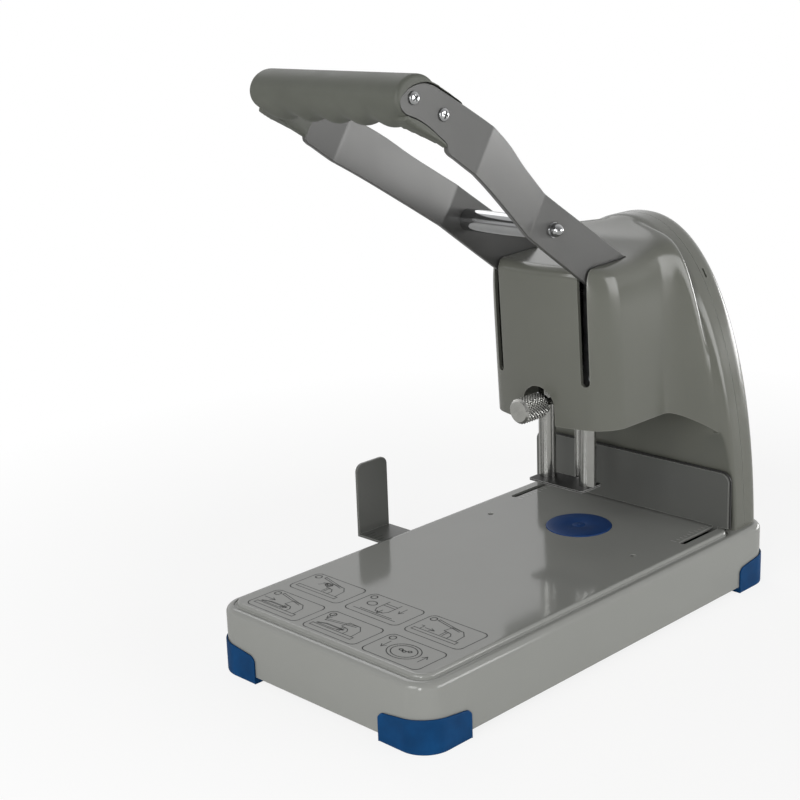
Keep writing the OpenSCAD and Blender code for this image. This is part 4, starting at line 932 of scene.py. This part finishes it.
def cheek(angle, x):
    """Distance from the grip's middle to the edge of a cheek in a direction, or nothing."""
    inward = grip_half_x - abs(x)
    if inward > cheek_w:
        return 0
    tip = np.interp(inward, (cheek_flat, cheek_w), (cheek_tip, cheek_root))
    reach, step = 0, 0.4
    while reach < cheek_far:
        u = grip_u + reach * math.cos(angle - lever_rest)
        v = grip_v + reach * math.sin(angle - lever_rest)
        above = through(upper, u) + np.interp(u, rim_u, rim_t)
        if u < tip or u > grip_u + 2 or v > above or v < through(cheek_edge, u):
            break
        reach += step
    return reach


print("grip:", round(oval(math.pi / 2, 0) + oval(-math.pi / 2, 0), 1), "mm thick between two fingers")

# %% [markdown]
# Rings across the grip take the larger of the oval and the cheek in every direction, which joins the two
# without the hard seam of a boolean. They stand closer together towards the ends, which are rounded.

# %% Grip
inward = [0, 0.3, 0.8, 1.5, 2.2, 3, 4.2, 5.2, 6.5, 8, 9.5, 11, 12.5, 13.2, 15, 18, 20]
grip_across = [d - grip_half_x for d in inward] + [2 * i for i in range(-25, 26)]
grip_across += [grip_half_x - d for d in reversed(inward)]
rings = []
for x in grip_across:
    nip = max(0, end_round - (grip_half_x - abs(x)))
    nip = end_round - math.sqrt(max(0, end_round ** 2 - nip ** 2))
    middle = Vector(lever(x, grip_u, grip_v))
    ring = []
    for i in range(grip_points):
        angle = 2 * math.pi * i / grip_points
        span = max(oval(angle, x), cheek(angle, x)) - nip
        ring.append(middle + Vector((0, -span * math.cos(angle), span * math.sin(angle))))
    rings.append(ring)
grip = solid("hand_grip", skin(rings))
print("grip: rings", len(rings))

# %% [markdown]
# The ends of the arms are let in with a fine gap all round them. The recess is the arm's own outline, grown
# by the gap and pushed in from the side.

# %% Arm ends let into the grip
seam = 0.7
slant = seam * 0.7
tip = (399, 401, 403, 404.4, 405.4)
outline = [(u, edges(u)[0] + seam) for u in range(300, 400, 4)]
outline += [(u + slant, edges(u)[0] + slant) for u in tip]
outline += [(u + slant, edges(u)[1] - slant) for u in reversed(tip)]
outline += [(u, edges(u)[1] - seam) for u in range(396, 299, -4)]
cut(grip, *[solid("arm_cut", skin([[lever(side * x, u, v) for u, v in outline]
                                   for x in (arm_grip_in - 0.1, grip_half_x + 3)])) for side in (-1, 1)])
smooth(grip, 48)
soften(grip, 0.35, 2, 60)
dress(grip, "lever", "grip_plastic", "grip")

# %% [markdown]
# ## Screws
# The screws are pan heads with a cross recess. A turned dome gives the head and two thin blocks cut the
# cross, each pair turned its own way, because nobody lines up screws on purpose.
# A bump could fake the cross, but a recess that is cut has the dark corners of a real one.

# %% Pan-head screws
def pan_head(at, axis, way, radius, tall):
    """The dome of a pan head, standing on a face at a point and pointing one way along an axis."""
    dome = [(radius * math.cos(a), tall * (0.35 + 0.65 * math.sin(a))) for a in arc(8)[:-1]]
    profile = [(radius * 0.94, 0), (radius, tall * 0.15)] + dome + [(0.05, tall)]
    return lathe([(r, way * d) for r, d in profile], at, axis, 40)


def cross_cut(at, axis, way, radius, tall, turn):
    """The two blocks that cut a cross into a pan head."""
    made = []
    for angle in (turn, turn + math.pi / 2):
        along = (math.cos(angle), math.sin(angle))
        wide, long = radius * 0.13, radius * 0.58
        corners = [(along[0] * p * long - along[1] * q * wide, along[1] * p * long + along[0] * q * wide)
                   for p, q in CORNERS]
        rings = []
        for d in (tall * 0.35, tall + 2):
            rings.append([{"x": (at[0] + way * d, at[1] + p, at[2] + q),
                           "y": (at[0] + p, at[1] + way * d, at[2] + q)}[axis] for p, q in corners])
        made.append(solid("cross_cut", skin(rings)))
    return made


def screw_set(name, seats, axis, radius, tall, body, node):
    """A piece of pan heads, from their places, the ways they point and their turns."""
    heads = solid(name, *[pan_head(at, axis, way, radius, tall) for at, way, turn in seats])
    cut(heads, *[c for at, way, turn in seats for c in cross_cut(at, axis, way, radius, tall, turn)])
    smooth(heads, 40)
    dress(heads, body, "bright_screw", node)


print("a pan head has", len(pan_head((0, 0, 0), "x", 1, 4, 2)[1]), "faces")

# %% [markdown]
# Four screws hold the grip between the arms and four more hold the rear cover. The ends of the tie bolt
# are plain polished caps on a thin washer, so they are turned in the same way without a cross.

# %% Screws and caps
arm_out, grip_head_r, grip_head_tall = arm_grip_in + arm_t, 4.4, 2.4
seats = [(lever(side * arm_out, u, v), side, turn) for side, u, v, turn in (
    (1, 395.5, 0, 0.5), (1, 366, 4, 1.2), (-1, 395.5, 0, 0.2), (-1, 366, 4, 0.9))]
screw_set("grip_screw_heads", seats, "x", grip_head_r, grip_head_tall, "lever", "grip_screws")

(_, nut_y0, nut_z0), (nut_x1, nut_y1, nut_z1) = node_box("dome_nuts")
nut_face, washer_r, washer_t, dome_r = arm_in + arm_t, 6, 0.8, 5.2
dome_tall = nut_x1 - nut_face - washer_t
cap = [(washer_r - 0.3, 0), (washer_r, 0.3), (washer_r - 0.2, washer_t), (dome_r, washer_t)]
cap += [(dome_r * math.cos(a), washer_t + 1 + (dome_tall - 1) * math.sin(a)) for a in arc(12)[:-1]]
cap += [(0.05, washer_t + dome_tall)]
nuts = solid("dome_caps", *[lathe([(r, side * d) for r, d in cap], (
    side * nut_face, (nut_y0 + nut_y1) / 2, (nut_z0 + nut_z1) / 2), "x", 64) for side in (-1, 1)])
smooth(nuts, 40)
dress(nuts, "lever", "bright_screw", "dome_nuts")

cover_screw_x, cover_head_r, cover_head_tall = 18, 4.5, 2.6
seats = []
for side in (-1, 1):
    for z, turn in ((table_z + 186, 0.3), (table_z + 49, 1.0)):
        seats.append(((side * cover_screw_x, rear_y - lean * (z - table_z), z), 1, turn + side * 0.4))
screw_set("cover_screw_heads", seats, "y", cover_head_r, cover_head_tall, "base", "cover_screws")

# %% [markdown]
# ## Knob
# The clamp knob is turned steel. Its grip is a diamond knurl, rolled in by two crossed sets of lines, so
# the height at each point is the lower of two slanted ridges. The face is left smooth with a chamfer.
# A bump would leave the outline of the knob smooth, so the knurl is made as real shape.

# %% Knurled knob
(_, knob_y0, knob_z0), (_, knob_y1, knob_z1) = node_box("clamp_knob")
knob_r = (knob_z1 - knob_z0) / 2
knob_at = (0, knob_y0, (knob_z1 + knob_z0) / 2)
knob_long, knob_pin_r, knurl_count, knurl_deep = 30, 3, 22, 0.9
knurl_start, knurl_end, knurl_steps = 2.2, 25, 72
knurl_pitch = 2 * math.pi * knob_r / knurl_count
sides = knurl_count * 8


def knurl(step, along):
    """Depth of the diamond knurl at a step round the knob and a distance along it."""
    turn = 2 * math.pi * step / sides
    deep = 0
    for slope in (-1, 1):
        phase = turn * knurl_count / (2 * math.pi) + slope * along / knurl_pitch
        deep = max(deep, abs(2 * (phase % 1) - 1) ** 2)
    return knurl_deep * deep


knob_face = [(0.02, 0), (knob_r * 0.55, 0), (knob_r * 0.78, 0.15), (knob_r - 2.0, 0.5), (knob_r - 0.9, 1.6)]
knob_neck = [(knob_r - 1.2, 25.6), (knob_r - 2.4, 26), (knob_r - 2.4, knob_long), (knob_pin_r, knob_long),
             (knob_pin_r, knob_y1 - knob_y0)]
rings = [hoop(radius, along, knob_at, "y", sides) for radius, along in knob_face]
for k in range(knurl_steps + 1):
    along = knurl_start + (knurl_end - knurl_start) * k / knurl_steps
    rings.append(hoop(knob_r, along, knob_at, "y", sides, knurl))
rings += [hoop(radius, along, knob_at, "y", sides) for radius, along in knob_neck]
knob = solid("knurled_knob", skin(rings))
smooth(knob, 30)
dress(knob, "knob", "knurled_steel", "clamp_knob")

# %% [markdown]
# ## Cutting pad
# The pad is a plastic disc that the punch cuts into. It lies in a hole in the table and is turned by hand
# when its middle is worn, so its rim has fine ribs. Old cuts leave faint rings on its face.
# The rings are part of the turned profile, which is less work than a texture for them.

# %% Cutting pad
(pad_x0, _, pad_z0), (pad_x1, _, pad_z1) = node_box("cutting_pad")
pad_r, rib_count, rib_deep = (pad_x1 - pad_x0) / 2, 110, 0.3
ring_cut, hole_cut = pad_z1 - 0.12, pad_z1 - 0.3
rings = [hoop(radius, z, (0, 0, 0), "z", rib_count * 4, lambda i, along: ribbed * rib_deep * (i % 4 < 2))
         for radius, z, ribbed in (
             (pad_r - 1, pad_z0, 0), (pad_r, pad_z0 + 1, 1), (pad_r, pad_z1 - 0.6, 1),
             (pad_r - 0.5, pad_z1 - 0.1, 0.4), (pad_r - 1.4, pad_z1, 0), (6.0, pad_z1, 0),
             (5.7, ring_cut, 0), (5.2, ring_cut, 0), (4.9, pad_z1, 0), (1.2, pad_z1, 0),
             (0.8, hole_cut, 0), (0.02, hole_cut, 0))]
pad = solid("cutting_disc", skin(rings))
smooth(pad, 35)
dress(pad, "pad", "pad_plastic", "cutting_pad")

# %% [markdown]
# ## Painted shade round the gauge
# A black line of shade runs round the top and the ends of the back gauge. It is painted as a thin black
# strip on the back of the gauge that stands out by a millimetre, and it slides with the gauge.
# A dark edge in the paint would need a mask, and the strip needs only an outline.

# %% Painted shade round the gauge
_, (gauge_x1, gauge_y1, gauge_z1) = node_box("back_gauge")
shade_strip_out, shade_strip_t, gauge_corner, pad_clear = 1.1, 1.2, 8, 0.6
edge_x, edge_z, shade_strip_r = gauge_x1 + shade_strip_out, gauge_z1 + shade_strip_out, gauge_corner + shade_strip_out
border = [(edge_x, pad_z1 + pad_clear)]
border += [(edge_x - shade_strip_r * (1 - math.cos(a)), edge_z - shade_strip_r * (1 - math.sin(a))) for a in arc(12)]
border += [(-x, z) for x, z in reversed(border)]
# painted shade: a black strip where the gap behind the gauge lies in shadow
shade_strip = push("gauge_painted_shade", border, gauge_y1, gauge_y1 + shade_strip_t)
smooth(shade_strip, 40)
soften(shade_strip, 0.25, 2, 60)
dress(shade_strip, "gauge", "slider_plastic")

# %% [markdown]
# ## Print on the table
# A printed line could be an image on the paint. Here it is a flat strip a little above it, so that it stays
# crisp from close by.
# A drawing is a list of lines, each a list of points round the drawing's middle.

# %% Printed lines
ink_lift, line_wide, mark_wide, tick_wide = 0.04, 0.8, 0.5, 0.6
table_ink, guide_ink = table_z + ink_lift, guide_z0 + guide_t + ink_lift
barb_long, barb_wide = 3, 0.6


def stroke(points, wide=line_wide, z=table_ink):
    """Skins of flat strips along a line of points."""
    strips = []
    for (x0, y0), (x1, y1) in zip(points, points[1:]):
        along = Vector((x1 - x0, y1 - y0)).normalized()
        ex, ey = along.x * wide / 2, along.y * wide / 2
        strips.append(([(x0 - ex - ey, y0 - ey + ex, z), (x0 - ex + ey, y0 - ey - ex, z),
                        (x1 + ex + ey, y1 + ey - ex, z), (x1 + ex - ey, y1 + ey + ex, z)], [(0, 1, 2, 3)]))
    return strips


def loop(x, y, radius, count):
    """Points round a circle, closed."""
    angles = arc(count, 2 * math.pi)
    return [(x + radius * math.cos(a), y + radius * math.sin(a)) for a in angles]


def machine(lever_end):
    """Lines of a small side view of the punch, with its lever reaching to a point."""
    return [[(-19, -11), (15, -11), (15, -7.5), (-19, -7.5), (-19, -11)],
            [(13, -7.5), (12, 3), (8, 8), (-1, 8.5), (-2, 1), (4, 0), (6, -3), (6, -7.5)],
            [(6, 6), lever_end], [(6, 8), (lever_end[0], lever_end[1] + 2), lever_end],
            [(0, 1), (0, -6)], [(1.6, 1), (1.6, -6)]]


def arrow(x0, y0, x1, y1):
    """Lines of an arrow."""
    along = Vector((x1 - x0, y1 - y0)).normalized() * barb_long
    side = Vector((-along.y, along.x)) * barb_wide
    return [[(x0, y0), (x1, y1)], [(x1 - along.x + side.x, y1 - along.y + side.y), (x1, y1)],
            [(x1 - along.x - side.x, y1 - along.y - side.y), (x1, y1)]]


print("side view of the punch:", len(machine((0, 0))), "lines")

# %% [markdown]
# Six outlined panels at the front of the table show without words how the punch is used: turn the knob,
# change the tool, set the gauge, lay the sheets, press the lever, turn the pad.

# %% Drawings and panels
sheets = [[(-17, -6), (-3, -6), (3, -3.4), (-11, -3.4), (-17, -6)], [(-17, -5), (-11, -2.4), (3, -2.4)]]
tool = [[(-5, 12), (-5, -2), (-3, -6), (3, -6), (5, -2), (5, 12)], [(-5, 8), (5, 8)], [(-5, 5), (5, 5)],
        [(-17, -11), (17, -11)], [(-13, -9), (13, -9)]]
disc = [loop(*one) for one in (
    (0, 0, 11, 36), (0, 0, 8.5, 30), (0, 0, 1.2, 12), (3, 2, 1.2, 12), (-3, 1, 1.2, 12))]
drawings = [
    machine((-13, 12)) + [loop(-3, 5, 2.6, 14), loop(-3, 5, 1.4, 12)] + arrow(-9, 1, -5, 7),
    tool + arrow(0, -2, 0, -8) + arrow(11, 10, 11, 1) + [loop(-12, 2, 3.4, 24)],
    machine((-14, 11)) + [[(-15, -7.5), (-15, -2), (-17, -2)]] + arrow(-13, -4, -6, -4),
    machine((-14, 12)) + sheets + arrow(-20, 1, -11, 1),
    machine((-16, 1)) + sheets + arrow(-17, 12, -17, 4),
    disc + arrow(15, -6, 15, 4) + arrow(-15, 6, -15, -4)]
panel_w, panel_d, panel_gap_x, panel_gap_y, panel_r, drawing_wide = 55, 33, 7, 9, 5, 1.25
panel_in, number_in, number_r = 5, 5.5, 2.6
panel_y = base_y0 + table_in + panel_in
strips = []
for index, drawing in enumerate(drawings):
    x = (index % 3 - 1) * (panel_w + panel_gap_x)
    y = panel_y + panel_d / 2 + (1 - index // 3) * (panel_d + panel_gap_y)
    x0, x1, y0, y1 = x - panel_w / 2, x + panel_w / 2, y - panel_d / 2, y + panel_d / 2
    panel = [(px, py) for px, py, pz in oblong(x0, x1, y0, y1, panel_r, 0, 6)]
    strips += stroke(panel + panel[:1])
    strips += stroke(loop(x0 + number_in, y1 - number_in, number_r, 16))
    for line in drawing:
        strips += stroke([(x + px * drawing_wide, y + py) for px, py in line])
dress(solid("table_print", *strips), "base", "print_ink")

# %% [markdown]
# Small marks beside the slots and along the guide's bar are printed as well, some of them longer.

# %% Marks and ticks
mark_x, mark_y, mark_step, mark_count, mark_long, mark_short = slot_x - 5.5, slot_front - 2, 5, 10, 5, 3
marks = []
for side in (-1, 1):
    for i in range(mark_count):
        y = mark_y + mark_step * i
        long = mark_long if i % 5 == 0 else mark_short
        marks += stroke([(side * mark_x, y), (side * (mark_x - long), y)], mark_wide)
dress(solid("slot_marks", *marks), "base", "scale_ink")

tick_x, tick_y, tick_step, tick_count, tick_long, tick_short = guide_x0 + 8, guide_y0 + 2, 5, 6, 10, 6
ticks = []
for i in range(tick_count):
    x = tick_x + tick_step * i
    long = tick_long if i % 2 == 0 else tick_short
    ticks += stroke([(x, tick_y), (x, tick_y + long)], tick_wide, guide_ink)
dress(solid("guide_ticks", *ticks), "side_guide", "print_ink")

# %% [markdown]
# ## Pieces kept from the CAD
# The other pieces are simple enough that the CAD shape is the right one: feet, posts, plate, gauge, guide
# and everything inside. Each gets its finish. The ones that show also have their edges rounded by a
# modifier: the points of neighbouring faces are first welded, because a bevel needs a closed skin.

# %% Finishes for the CAD nodes
edges_rounded = {
    "front_left_foot": 1.2, "front_right_foot": 1.2, "rear_left_foot": 1.2, "rear_right_foot": 1.2,
    "left_post": 0.5, "right_post": 0.5, "presser_plate": 0.35, "back_gauge": 0.4, "side_guide": 0.4,
    "spacer_tube": 0.4, "base_pan": 0.6, "ram": 0.5, "punch": 0.15}
weld_reach = 0.005
for entry in frame["record"]["subparts"]:
    node = nodes[entry["node"]]
    node.data.materials.clear()
    node.data.materials.append(finishes[entry["material_slot"]])
    if entry["node"] in edges_rounded:
        weld = node.modifiers.new("welded", "WELD")
        weld.merge_threshold = weld_reach * MM
        soften(node, edges_rounded[entry["node"]], 3, 35)
print("CAD nodes with a finish:", len(nodes), "and with rounded edges:", len(edges_rounded))

# %% [markdown]
# ## Size
# The dressed model has to fill the same box as the CAD, so its bounds are measured here.

# %% Size and finish
import json

low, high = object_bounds()
